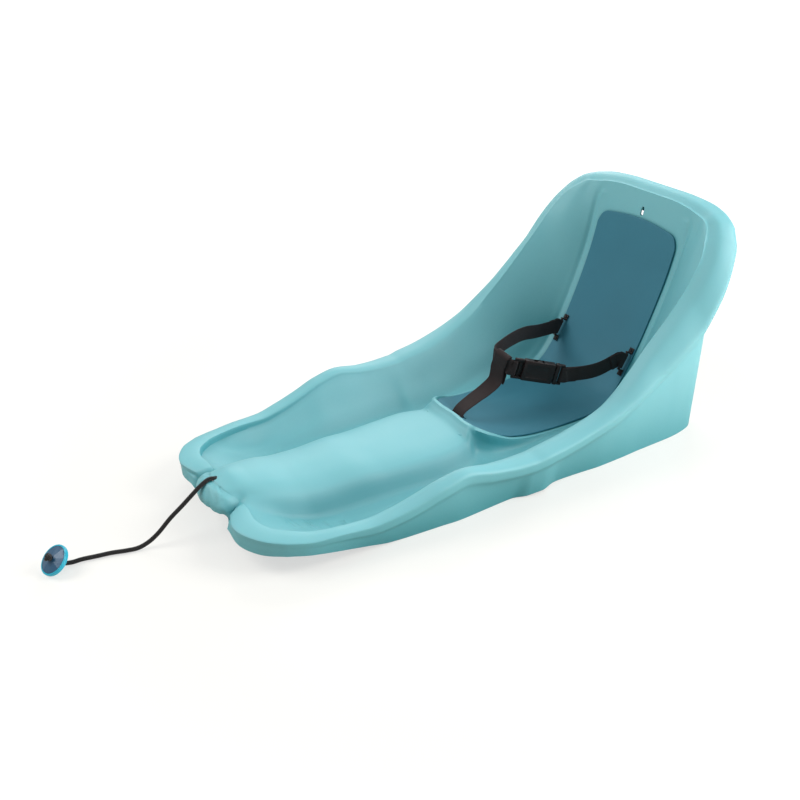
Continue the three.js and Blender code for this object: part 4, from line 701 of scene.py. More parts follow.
@dataclass
class SkinNet:
    """The hull's surface as a net of smooth lines, with its rim band and skirt."""

    half_width: float = 0.211
    half_length: float = 0.416
    height: float = 0.352
    rim: RimShares = RimShares()
    edge_place: float = 0.07
    crown_places: tuple[tuple[float, float], ...] = ((0.42, 0.85), (0.8, 0.75))
    lip_drop: float = 0.035
    lip_tuck: float = 0.03
    skirt_top: float = 0.3
    normal_reach: float = 0.8
    side_step: tuple[float, float] = (1.9, 0.3)
    toe_step: tuple[float, float] = (2.4, 0.3)
    halvings: int = 24

    def __post_init__(self) -> None:
        """Lays the smooth lines."""
        self.row_lines = [(SmoothLine(row.x), SmoothLine(row.y, level=True), SmoothLine(row.z, level=True))
                          for row in SKIN_ROWS]
        self.last_column = len(SKIN_ROWS[0].x) - 1
        self.last_row = len(SKIN_ROWS) - 1
        self.perimeter_end = self.last_column * 2 + self.last_row
        self.columns: dict[float, Callable[[float], Vector]] = {}
        self.band = {name: SmoothLine(getattr(self.rim, name)) for name in RimShares.__dataclass_fields__}

    def place(self, x: float, y: float, z: float) -> Vector:
        """A point from its shares of the half width, the half length and the height."""
        return Vector((x * self.half_width, y * self.half_length, z * self.height))

    def column(self, across: float) -> Callable[[float], Vector]:
        """The line along the hull at one place across it.

        Args:
            across: the place across, where whole numbers are the columns of the skin's rows.

        Returns:
            The line, a function of the place along.
        """
        key = round(across, 6)
        if key not in self.columns:
            x, y, z = (SmoothLine([lines[c](across) * MM for lines in self.row_lines]) for c in range(3))
            self.columns[key] = lambda along: self.place(x(along), y(along), z(along))
        return self.columns[key]

    def point(self, across: float, along: float) -> Vector:
        """A point of the skin. A place across below zero is on the rider's right."""
        found = self.column(abs(across))(along)
        return mirrored(found) if across < 0 else found

    def axes(self, across: float, along: float, step: float = 0.04) -> tuple[Vector, Vector, Vector]:
        """Directions on the skin at a point of it.

        Args:
            across: the place across.
            along: the place along.
            step: how far the points lie over which the directions are taken.

        Returns:
            The directions to the side, up the skin and square out of it.
        """
        side = self.point(across + step, along) - self.point(max(across - step, 0), along)
        up = (self.point(across, along + step) - self.point(across, along - step)).normalized()
        out = (Vector((1, 0, 0)) if across < step else side).cross(up).normalized()
        return up.cross(out), up, out

    def along_at_height(self, share: float) -> float:
        """The place along the middle line of the back that is at a share of the height."""
        return self._bisect(self.last_row / 2, self.last_row, share * self.height, lambda t: self.point(0, t).z)

    def height_over(self, x: float, y: float) -> float:
        """The height of the skin.

        Args:
            x: place across, in metres.
            y: place along, in metres.

        Returns:
            The skin's height there over the ground.
        """
        across, along = 0.0, self.last_row / 2
        for _ in range(6):
            along = self._bisect(0, self.last_row, y, lambda t: self.point(across, t).y)
            across = self._bisect(0, self.last_column, abs(x), lambda t: self.point(t, along).x)
        return self.point(across, along).z

    def _bisect(self, low: float, high: float, target: float, measure: Callable[[float], float]) -> float:
        """Looks for the place where a rising measure reaches its target.

        Args:
            low: the lowest place.
            high: the highest place.
            target: the value looked for.
            measure: the value at a place.

        Returns:
            The place.
        """
        for _ in range(self.halvings):
            middle = (low + high) / 2
            if measure(middle) < target:
                low = middle
            else:
                high = middle
        return (low + high) / 2

    def perimeter(self, station: float) -> Vector:
        """A point of the rim's inner edge.

        Args:
            station: how far it is from the nose round the rider's left to the middle of the back.

        Returns:
            The point.
        """
        if station <= self.last_column:
            return self.point(station, 0)
        if station <= self.last_column + self.last_row:
            return self.point(self.last_column, station - self.last_column)
        return self.point(self.perimeter_end - station, self.last_row)

    def outward(self, station: float) -> Vector:
        """The outward direction of the rim in plan.

        Args:
            station: the place round the rim.

        Returns:
            The direction, of length 1.
        """
        if station <= 0:
            return Vector((0, -1, 0))
        if station >= self.perimeter_end:
            return Vector((0, 1, 0))
        after = self.perimeter(min(station + self.normal_reach, self.perimeter_end))
        run = after - self.perimeter(max(station - self.normal_reach, 0))
        return Vector((run.y, -run.x, 0)).normalized()

    def rim_section(self, station: float) -> list[Vector]:
        """The band and the skirt at one station.

        Args:
            station: the place round the rim.

        Returns:
            Nine points, from the inner edge out over the crowns and down the skirt to the foot.
        """
        share = {name: line(station) * MM for name, line in self.band.items()}
        inner, normal = self.perimeter(station), self.outward(station)
        reach = share["band_reach"] * self.half_width
        outer = inner + normal * reach - Vector((0, 0, share["band_drop"] * self.height))
        edge = inner.lerp(outer, self.edge_place)
        crowns = [inner.lerp(outer, place) + Vector((0, 0, share["band_crown"] * self.height * rise))
                  for place, rise in self.crown_places]
        foot = inner + normal * (share["foot_reach"] * self.half_width)
        foot.z = share["foot_height"] * self.height
        lip = outer - normal * (self.lip_tuck * reach)
        lip.z -= min(self.lip_drop * self.height, (outer.z - foot.z) * self.skirt_top)
        top = lip.lerp(foot, share["skirt_tuck"])
        top.z = lip.z + (foot.z - lip.z) * self.skirt_top / 2
        inner.z -= share["step_depth"] * self.height
        return [inner, edge, *crowns, outer, lip, top, top.lerp(foot, 0.5), foot]

    def step(self, across: float, along: float) -> float:
        """How far the skin lies under the smooth net, so that the band's inner edge stands over it.

        Args:
            across: the place across.
            along: the place along.

        Returns:
            The depth in metres.
        """
        depth = self.band["step_depth"]
        start, end = (self.last_column - off for off in self.side_step)
        side = fade(abs(across), start, end) * depth(self.last_column + along)
        start, end = (-off for off in self.toe_step)
        toe = fade(-along, start, end) * depth(abs(across))
        return max(side, toe) * MM * self.height


# Making pieces


def new_object(name: str, mesh: Mesh) -> Object:
    """Puts a mesh into the scene.

    Args:
        name: its name.
        mesh: its mesh.

    Returns:
        The object.
    """
    made = bpy.data.objects.new(name, mesh)
    bpy.context.scene.collection.objects.link(made)
    return made


def shade(mesh: Mesh, sharp: float | None) -> None:
    """Shades a mesh smooth, apart from the edges past an angle in degrees.

    Args:
        mesh: the mesh.
        sharp: the angle, or None for a mesh without sharp edges.
    """
    mesh.polygons.foreach_set("use_smooth", [True] * len(mesh.polygons))
    if sharp is not None:
        mesh.set_sharp_from_angle(angle=math.radians(sharp))


def to_object(bm: BMesh, name: str, finish: Finish,
              sharp: float | None = 35.0) -> Object:
    """Turns a bmesh into an object of its own.

    Args:
        bm: the finished bmesh, which is freed.
        name: the piece's name.
        finish: the finish that dresses it.
        sharp: the angle in degrees past which an edge is shaded sharp, or None for none.

    Returns:
        The object.
    """
    mesh = bpy.data.meshes.new(name)
    bm.to_mesh(mesh)
    bm.free()
    shade(mesh, sharp)
    mesh.materials.append(finish.material())
    return new_object(name, mesh)


def settle(piece: Object, body: Body, slot: Slot, *nodes: str, ride: bool = True) -> Object:
    """Gives a piece its place in the model and reports it.

    Args:
        piece: the piece.
        body: the body that it rides on.
        slot: its material slot; not used.
        nodes: the CAD nodes that it stands for.
        ride: False for a piece that is blended between bodies already.

    Returns:
        The piece.
    """
    if ride:
        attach(piece, body.value)
    if nodes:
        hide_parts(*nodes)
    LOG.info("piece %s on %s, %d faces", piece.name, body.value, len(piece.data.polygons))
    return piece


def dress_node(name: str, finish: Finish) -> Object:
    """Gives a CAD node that stays in sight its finish.

    Args:
        name: the node's name.
        finish: the finish.

    Returns:
        The node.
    """
    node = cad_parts[name]
    for material_slot in node.material_slots:
        material_slot.material = finish.material()
    if not node.material_slots:
        node.data.materials.append(finish.material())
    LOG.info("node %s dressed", name)
    return node


def cut_with(target: Object, tool: Object, operation: str = "DIFFERENCE") -> None:
    """Cuts or joins one closed mesh with another and removes the tool.

    Args:
        target: the piece that is changed.
        tool: the closed mesh that it is cut with or joined to.
        operation: the boolean operation.
    """
    change = target.modifiers.new("change", "BOOLEAN")
    change.operation = operation
    change.object = tool
    change.solver = "MANIFOLD"
    bpy.context.view_layer.update()
    made = bpy.data.meshes.new_from_object(target.evaluated_get(bpy.context.evaluated_depsgraph_get()))
    target.modifiers.remove(change)
    target.data = made
    bpy.data.objects.remove(tool)


def verts_of(made: dict) -> list[BMVert]:
    """The vertices that an operator made."""
    found = made.get("verts")
    return list(found) if found is not None else [g for g in made["geom"] if isinstance(g, BMVert)]


def round_edges(bm: BMesh, edges: Sequence[BMEdge], radius: float, segments: int,
                clamp: bool = True) -> list[BMFace]:
    """Rounds edges by a radius, held where two roundings would meet unless clamp is off; gives the new faces."""
    return bmesh.ops.bevel(bm, geom=edges, offset=radius, offset_type="OFFSET", segments=segments, profile=0.5,
                           affect="EDGES", material=-1, clamp_overlap=clamp)["faces"]


def add_block(bm: BMesh, low: Sequence[float], high: Sequence[float], matrix: Matrix,
              corner: float = 0.0, segments: int = 3) -> list[BMVert]:
    """Adds a block.

    Args:
        bm: the bmesh that takes it.
        low: its lowest corner, in the frame of the matrix.
        high: its highest corner.
        matrix: the frame.
        corner: the radius of its edges, or 0 for sharp ones.
        segments: the steps round each edge.

    Returns:
        Its vertices.
    """
    middle = [(a + b) / 2 for a, b in zip(low, high)]
    size = [b - a for a, b in zip(low, high)]
    verts = verts_of(bmesh.ops.create_cube(bm, size=1.0))
    bmesh.ops.transform(bm, matrix=Matrix.Translation(middle) @ Matrix.Diagonal((*size, 1.0)), verts=verts)
    if corner > 0:
        edges = list(dict.fromkeys(edge for vert in verts for edge in vert.link_edges))
        rounded = [vert for face in round_edges(bm, edges, corner, segments) for vert in face.verts]
        verts = list(dict.fromkeys(rounded + [vert for vert in verts if vert.is_valid]))
    bmesh.ops.transform(bm, matrix=matrix, verts=verts)
    return verts


def add_rod(bm: BMesh, radius: float, low: float, high: float, matrix: Matrix,
            sides: int = 32) -> list[BMVert]:
    """Adds a rod along the third direction of a frame.

    Args:
        bm: the bmesh that takes it.
        radius: its radius.
        low: where it starts on the axis.
        high: where it ends.
        matrix: the frame.
        sides: the sides round it.

    Returns:
        Its vertices.
    """
    verts = verts_of(bmesh.ops.create_cone(bm, cap_ends=True, segments=sides, radius1=radius, radius2=radius,
                                           depth=high - low))
    bmesh.ops.transform(bm, matrix=matrix @ Matrix.Translation((0, 0, (low + high) / 2)), verts=verts)
    return verts


def add_drills(bm: BMesh, frames: Iterable[Matrix], reach: float = 0.016) -> None:
    """Adds the tools for the brackets' screw holes, each reaching as far both ways from its frame."""
    for matrix in frames:
        add_rod(bm, SCREW_HOLE_RADIUS, -reach, reach, matrix, 20)


def add_turned(bm: BMesh, profile: Section, matrix: Matrix, sides: int = 64) -> list[BMVert]:
    """Turns a profile about the third direction of a frame.

    Args:
        bm: the bmesh that takes it.
        profile: its corners, radius and height, first and last the same.
        matrix: the frame.
        sides: the sides round it.

    Returns:
        Its vertices.
    """
    start = [bm.verts.new((radius, 0, height)) for radius, height in profile]
    edges = [bm.edges.new(pair) for pair in zip(start, start[1:])]
    before = set(bm.verts) - set(start)
    bmesh.ops.spin(bm, geom=start + edges, axis=(0, 0, 1), cent=(0, 0, 0), angle=math.tau, steps=sides,
                   use_merge=True)
    verts = [vert for vert in bm.verts if vert not in before]
    bmesh.ops.remove_doubles(bm, verts=verts, dist=1e-7)
    verts = [vert for vert in bm.verts if vert not in before]
    faces = dict.fromkeys(face for vert in verts for face in vert.link_faces)
    bmesh.ops.recalc_face_normals(bm, faces=list(faces))
    bmesh.ops.transform(bm, matrix=matrix, verts=verts)
    return verts


@dataclass
class Station:
    """One cross-section of a swept piece: its middle and its two directions."""

    centre: Vector
    across: Vector
    out: Vector


def sweep(section: Section, stations: Sequence[Station], map_across: Sequence[float]) -> BMesh:
    """Sweeps a closed section through stations, with a map for weaves.

    Args:
        section: the section's corners, across and out.
        stations: the cross-sections in order.
        map_across: the map's first value at each corner, and one more for the first corner seen again.

    Returns:
        The bmesh, closed at both ends.
    """
    bm = bmesh.new()
    corner = bm.verts.layers.int.new("corner")
    row = bm.verts.layers.float.new("row")
    weave = bm.loops.layers.uv.new("weave")

    def put(vert: BMVert, station: Station) -> None:
        """Puts a corner of the section in its place."""
        wide, deep = section[vert[corner]]
        vert.co = station.centre + (station.across * wide + station.out * deep)

    verts = verts_of(bmesh.ops.create_circle(bm, cap_ends=False, segments=len(section), radius=1.0))
    turning = sorted(verts, key=lambda v: math.atan2(v.co.y, v.co.x) % math.tau)
    for k, vert in enumerate(turning):
        vert[corner] = k
        put(vert, stations[0])
    edges = list(bm.edges)
    bmesh.ops.contextual_create(bm, geom=edges)
    travelled = 0.0
    for before, station in zip(stations, stations[1:]):
        travelled += (station.centre - before.centre).length
        made = bmesh.ops.extrude_edge_only(bm, edges=edges)
        verts = verts_of(made)
        joined = set(verts)
        edges = [g for g in made["geom"] if isinstance(g, BMEdge) and set(g.verts) <= joined]
        for vert in verts:
            vert[row] = travelled
            put(vert, station)
    bmesh.ops.contextual_create(bm, geom=edges)
    bmesh.ops.recalc_face_normals(bm, faces=list(bm.faces))
    count = len(section)
    for face in bm.faces:
        wraps = len(face.verts) == 4 and {v[corner] for v in face.verts} == {0, count - 1}
        for loop in face.loops:
            k = loop.vert[corner]
            loop[weave].uv = (map_across[count if wraps and k == 0 else k], loop.vert[row])
    return bm


def round_section(radius: float, sides: int) -> tuple[Section, list[float]]:
    """A round section.

    Args:
        radius: its radius.
        sides: its corners.

    Returns:
        The corners, and the map's first value at each in shares of a turn.
    """
    corners = [(radius * math.cos(math.tau * k / sides), radius * math.sin(math.tau * k / sides))
               for k in range(sides)]
    return corners, [k / sides for k in range(sides + 1)]


def tube_stations(path: Sequence[Vector], up: Vector) -> list[Station]:
    """Lays stations along a path, with directions that turn as little as they can.

    Args:
        path: the middles.
        up: the direction across the first station, before it is squared.

    Returns:
        The stations.
    """
    result, across = [], squared(up, tangent_at(path, 0))
    for k, centre in enumerate(path):
        tangent = tangent_at(path, k)
        across = squared(across, tangent)
        result.append(Station(centre, across, tangent.cross(across)))
    return result


# The tow cord, its reel and its handle


@dataclass
class PullHandle:
    """The round pull handle: a dish, its faceted face and the stopper knot."""

    centre: Vector
    normal: Vector = field(default_factory=lambda: Vector((0.117, -0.622, 0.775)).normalized())
    radius: float = 0.021
    depth: float = 0.0056
    rim_width: float = 0.0024
    cone_rise: float = 0.005
    hole: float = 0.0033
    hub_depth: float = 0.0058
    facets: int = 8
    cone_share: float = 0.94
    cone_spread: float = 1.02
    cone_bulge: float = 0.9
    knot_radius: float = 0.0056
    knot_thickness: float = 0.43
    knot_spread: float = 0.36
    knot_height: float = 1.55
    knot_wave: float = 0.62
    edge: float = 0.0014
    sides: int = 96

    @property
    def matrix(self) -> Matrix:
        """The handle's frame, with its third direction out of its face."""
        return along_axis(self.normal, self.centre)

    @property
    def cone_top(self) -> float:
        """Height of the face's top over the handle's middle."""
        return self.depth / 2 + self.cone_rise

    def at(self, height: float) -> Vector:
        """A point on the handle's axis."""
        return self.centre + self.normal * height

    def _arc(self, radius: float, height: float, start: float, end: float, steps: int = 5) -> Section:
        """A rounded edge's points round a middle at this radius and height, from one angle in degrees to another."""
        angles = [math.radians(start + (end - start) * k / steps) for k in range(steps + 1)]
        return [(radius + self.edge * math.cos(a), height + self.edge * math.sin(a)) for a in angles]

    def build_rim(self) -> Object:
        """The cyan dish.

        Returns:
            The piece.
        """
        half = self.depth / 2
        seat = self.radius - self.rim_width
        turn = self.radius - self.edge
        profile = [(self.hole, -self.hub_depth), (self.hole * 2, -self.hub_depth), (self.hole * 2.1, -half)]
        profile += self._arc(turn, self.edge - half, -90, 0) + self._arc(turn, half - self.edge, 0, 90)
        profile += [(seat + 0.0002, half), (seat, half - FIT), (seat, 0), (self.hole, 0),
                    (self.hole, -self.hub_depth)]
        bm = bmesh.new()
        add_turned(bm, profile, self.matrix, self.sides)
        return settle(to_object(bm, "pull_handle_rim", RIM_PLASTIC), Body.HANDLE, Slot.HANDLE_RIM, "handle_rim")

    def build_face(self) -> Object:
        """The faceted blue face.

        Returns:
            The piece.
        """
        seat = self.radius - self.rim_width - FIT
        rings = 14
        slope = [(seat + (self.hole - seat) * k / rings, self.depth / 2) for k in range(rings + 1)]
        bm = bmesh.new()
        verts = add_turned(bm, [(self.hole, FIT), (seat, FIT), *slope, (self.hole, FIT)], Matrix.Identity(4),
                           self.sides)
        wedge = math.tau / self.facets
        for vert in verts:
            if vert.co.z < self.depth / 4:
                continue
            angle = math.atan2(vert.co.y, vert.co.x) % wedge - wedge / 2
            reach = math.hypot(vert.co.x, vert.co.y) * math.cos(angle) / math.cos(wedge / 2)
            share = max(1 - reach / (seat * self.cone_spread), 0.0)
            vert.co.z += self.cone_rise * self.cone_share * share ** self.cone_bulge
        bmesh.ops.transform(bm, matrix=self.matrix, verts=verts)
        return settle(to_object(bm, "pull_handle_face", FACE_PLASTIC, 12), Body.HANDLE, Slot.HANDLE_FACE,
                      "handle_face")

    def build_knot(self) -> Object:
        """The stopper knot, a short cord tied round itself.

        Returns:
            The piece.
        """
        thick = self.knot_radius * self.knot_thickness
        spread = (self.knot_radius - thick) * self.knot_spread
        loops = []
        for k in range(self.sides + 1):
            t = math.tau * k / self.sides
            loops.append(Vector((spread * (math.sin(t) + 2 * math.sin(2 * t)),
                                 spread * (math.cos(t) - 2 * math.cos(2 * t)),
                                 thick * (self.knot_height - self.knot_wave * math.sin(3 * t)))))
        loops.append(loops[0] + (loops[1] - loops[0]) * 0.4)
        matrix = self.matrix @ Matrix.Translation((0, 0, self.cone_top - FIT))
        path = [matrix @ place for place in loops]
        section, wrap = round_section(thick, 14)
        bm = sweep(section, tube_stations(path, self.normal), wrap)
        piece = to_object(bm, "pull_cord_knot", CORD_BRAID, None)
        return settle(piece, Body.HANDLE, Slot.CORD, "cord_knot")


@dataclass
class TowCord:
    """The cord from the reel under the ridge through the nose hole to the handle."""

    net: SkinNet
    diameter: float = 0.006
    hole_share: float = -0.935
    aim: Vector = field(default_factory=lambda: Vector((0, -0.8, 0.6)))
    hang: tuple[tuple[float, float, float], ...] = (
        (0, 5, 1.05), (0, 12, 1.06), (0, 25, 0.967), (0, 38, 0.83), (0, 51, 0.69), (0, 71, 0.485), (0, 90, 0.25),
        (-1, 104, 0.12))
    lie: tuple[tuple[float, float], ...] = ((-3, 118), (-6, 133), (-12, 151), (-16, 170), (-20, 188), (-21, 201))
    handle_place: tuple[float, float] = (-20, 221)
    ground: float = 0.0036
    handle_slack: float = 0.0006
    blend_reach: float = 0.012
    steps: int = 150
    sides: int = 16

    def __post_init__(self) -> None:
        """Finds the hole and hangs the handle at the cord's end."""
        y = self.hole_share * self.net.half_length
        self.hole = Vector((0, y, self.net.height_over(0, y)))
        handle = PullHandle(Vector((0, 0, 0)))
        lean = math.sqrt(1 - handle.normal.z ** 2) * (handle.radius + self.handle_slack)
        rise = lean + handle.depth / 2 * handle.normal.z + self.handle_slack
        handle.centre = Vector((self.handle_place[0] * MM, y - self.handle_place[1] * MM, rise))
        self.handle = handle

    def free_points(self) -> list[Vector]:
        """The free cord's route, from the nose hole to the handle's face.

        Returns:
            The points of the route.
        """
        hole = self.hole
        points = [hole + self.aim * (FIT / 2), hole + self.aim * (self.diameter / 2)]
        points += [Vector((x * MM, hole.y - ahead * MM, max(rise * hole.z, self.ground)))
                   for x, ahead, rise in self.hang]
        points += [Vector((x * MM, hole.y - ahead * MM, self.ground)) for x, ahead in self.lie]
        back = -self.handle.hub_depth
        return points + [self.handle.at(back - self.diameter), self.handle.at(back),
                         self.handle.at(self.handle.cone_top - FIT)]

    def build(self) -> list[Object]:
        """Returns:
            The cord and the three pieces of the handle.
        """
        pieces = [self.handle.build_rim(), self.handle.build_face(), self.handle.build_knot()]
        run = RoundedPath(self.free_points())
        path = run.spaced(self.steps)
        section, wrap = round_section(self.diameter / 2, self.sides)
        bm = sweep(section, tube_stations(path, Vector((1, 0, 0))), wrap)
        cord = to_object(bm, "tow_cord", CORD_BRAID, None)
        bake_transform(cord, Body.HULL.value, Body.HANDLE.value, start=tuple(self.hole),
                 end=tuple(self.handle.at(-self.blend_reach)))
        tuple(self.hole)
        settle(cord, Body.HULL, Slot.CORD, "pull_cord", ride=False)
        LOG.info("free cord %.3f m", run.length)
        return [cord, *pieces]


@dataclass
class Reel:
    """The spring reel under the ridge: its cord pieces, and the CAD nodes that stay in sight."""

    cord: TowCord
    place: Vector
    radius: float = 0.043
    ear_radius: float = 0.0065
    winding_radius: float = 0.0337
    hub_radius: float = 0.017
    winding_foot: float = 0.0076
    winding_top: float = 0.023
    outlet_height: float = 0.01985
    hole_lead: float = 0.02
    start_back: float = 0.0036
    turn_steps: int = 28

    def build_inner_run(self) -> Object:
        """The cord from the drum to the nose hole.

        Returns:
            The piece.
        """
        hole, aim = self.cord.hole, self.cord.aim
        start = self.place + Vector((-self.winding_radius, -self.start_back, self.outlet_height))
        leave = self.place + Vector((-self.winding_radius, -self.radius - self.ear_radius, self.outlet_height))
        bend = hole - aim * self.hole_lead
        points = [start, start.lerp(leave, 0.6), leave, leave.lerp(bend, 0.5), bend, hole - aim * (FIT / 2)]
        path = RoundedPath(points).spaced(120)
        section, wrap = round_section(self.cord.diameter / 2, 14)
        bm = sweep(section, tube_stations(path, Vector((1, 0, 0))), wrap)
        return settle(to_object(bm, "inner_cord", CORD_BRAID, None), Body.HULL, Slot.CORD, "cord_inner_run")

    def build_winding(self) -> Object:
        """The cord wound on the drum: two layers of two turns, and one low turn that clears the outlet.

        Returns:
            The piece.
        """
        radius = self.cord.diameter / 2
        foot = self.winding_foot + radius + FIT / 2
        rise = self.winding_top - self.winding_foot - self.cord.diameter - FIT
        low_rise = rise - self.cord.diameter - FIT
        inmost = self.hub_radius + FIT + radius
        layers = ((inmost, 2, 0, rise), (inmost + radius * 2, 2, rise, 0), (self.winding_radius, 1, 0, low_rise))
        path: list[Vector] = []
        for reach, count, start, end in layers:
            for k in range(count * self.turn_steps):
                share = k / (count * self.turn_steps)
                height = start + (end - start) * share
                angle = math.tau * (share * count) + math.pi
                path.append(self.place + Vector((reach * math.cos(angle), reach * math.sin(angle), foot + height)))
        section, wrap = round_section(radius * 0.97, 10)
        bm = sweep(section, tube_stations(path, Vector((0, 0, 1))), wrap)
        return settle(to_object(bm, "drum_cord", CORD_BRAID, None), Body.DRUM, Slot.CORD, "wound_cord")

    def build(self) -> None:
        """Builds the cord's two hidden pieces and dresses the reel's hard ones."""
        self.build_inner_run()
        self.build_winding()
        for name in ("reel_case", "reel_lid", "reel_drum"):
            dress_node(name, REEL_PLASTIC)
        for name in ("reel_spindle", "recoil_spring", "reel_screw_1", "reel_screw_2", "reel_screw_3"):
            dress_node(name, STEEL)


# The hull


@dataclass
class SeatLiner:
    """The soft sheet on the seat and the backrest."""

    net: SkinNet
    gap: float = 0.001
    thickness: float = 0.0026
    edge_places: tuple[float, ...] = (1.78, 1.9, 1.87, 1.83, 1.84, 1.84, 1.83, 1.8, 1.78, 1.74, 1.69)
    edge_start: int = 10
    front: float = 10.34
    front_corner: float = 0.1
    top: float = 20.04
    arch: float = 0.2
    top_corner: float = 0.34
    corner_start: float = 0.72
    columns: int = 36
    rows: int = 150
    edge: float = 0.0011
    sharp: float = 50

    def __post_init__(self) -> None:
        """Lays the line of its side edge."""
        self.edge_line = SmoothLine(self.edge_places)

    def reach(self, along: float) -> float:
        """The place across of its side edge."""
        return self.edge_line(min(max(along - self.edge_start, 0), len(self.edge_places) - 1))

    def build(self, notch: Object, drills: Iterable[Matrix]) -> Object:
        """Builds the liner.

        Args:
            notch: the tool for the crotch strap's notch.
            drills: frames of the screw holes.

        Returns:
            The piece.
        """
        bm = bmesh.new()
        bmesh.ops.create_grid(bm, x_segments=self.columns * 2, y_segments=self.rows, size=1.0)
        for vert in bm.verts:
            share, run = abs(vert.co.x), (vert.co.y + 1) / 2
            corner = max((share - self.corner_start) / (1 - self.corner_start), 0)
            front = self.front + self.front_corner * corner ** 3
            top = self.top - self.arch * share * share - self.top_corner * corner ** 4
            along = front + (top - front) * run
            across = share * self.reach(along)
            vert.co = self.net.point(math.copysign(across, vert.co.x), along)
        bm.normal_update()
        lift = {vert: vert.normal.copy() for vert in bm.verts}
        for vert, normal in lift.items():
            vert.co += normal * (self.gap + self.thickness)
        bmesh.ops.solidify(bm, geom=list(bm.faces), thickness=self.thickness)
        bmesh.ops.recalc_face_normals(bm, faces=list(bm.faces))
        bm.normal_update()
        edges = [e for e in bm.edges if len(e.link_faces) == 2 and e.calc_face_angle(0) > math.radians(60)]
        round_edges(bm, edges, self.edge, 3)
        liner = to_object(bm, "seat_pad", LINER_FOAM, self.sharp)
        cut_with(liner, notch)
        bm = bmesh.new()
        add_drills(bm, drills)
        cut_with(liner, to_object(bm, "liner_drills", LINER_FOAM))
        shade(liner.data, self.sharp)
        return settle(liner, Body.HULL, Slot.LINER, "seat_liner")


@dataclass(frozen=True)
class CrotchSlot:
    """The slot in the seat lip that the crotch strap comes up through."""

    share: float = 0.0296
    width: float = 0.0094
    reach: float = 0.0145

    def place(self, net: SkinNet) -> tuple[float, float]:
        """Where the slot is along the hull, and the skin's height there."""
        y = self.share * net.half_length
        return y, net.height_over(0, y)


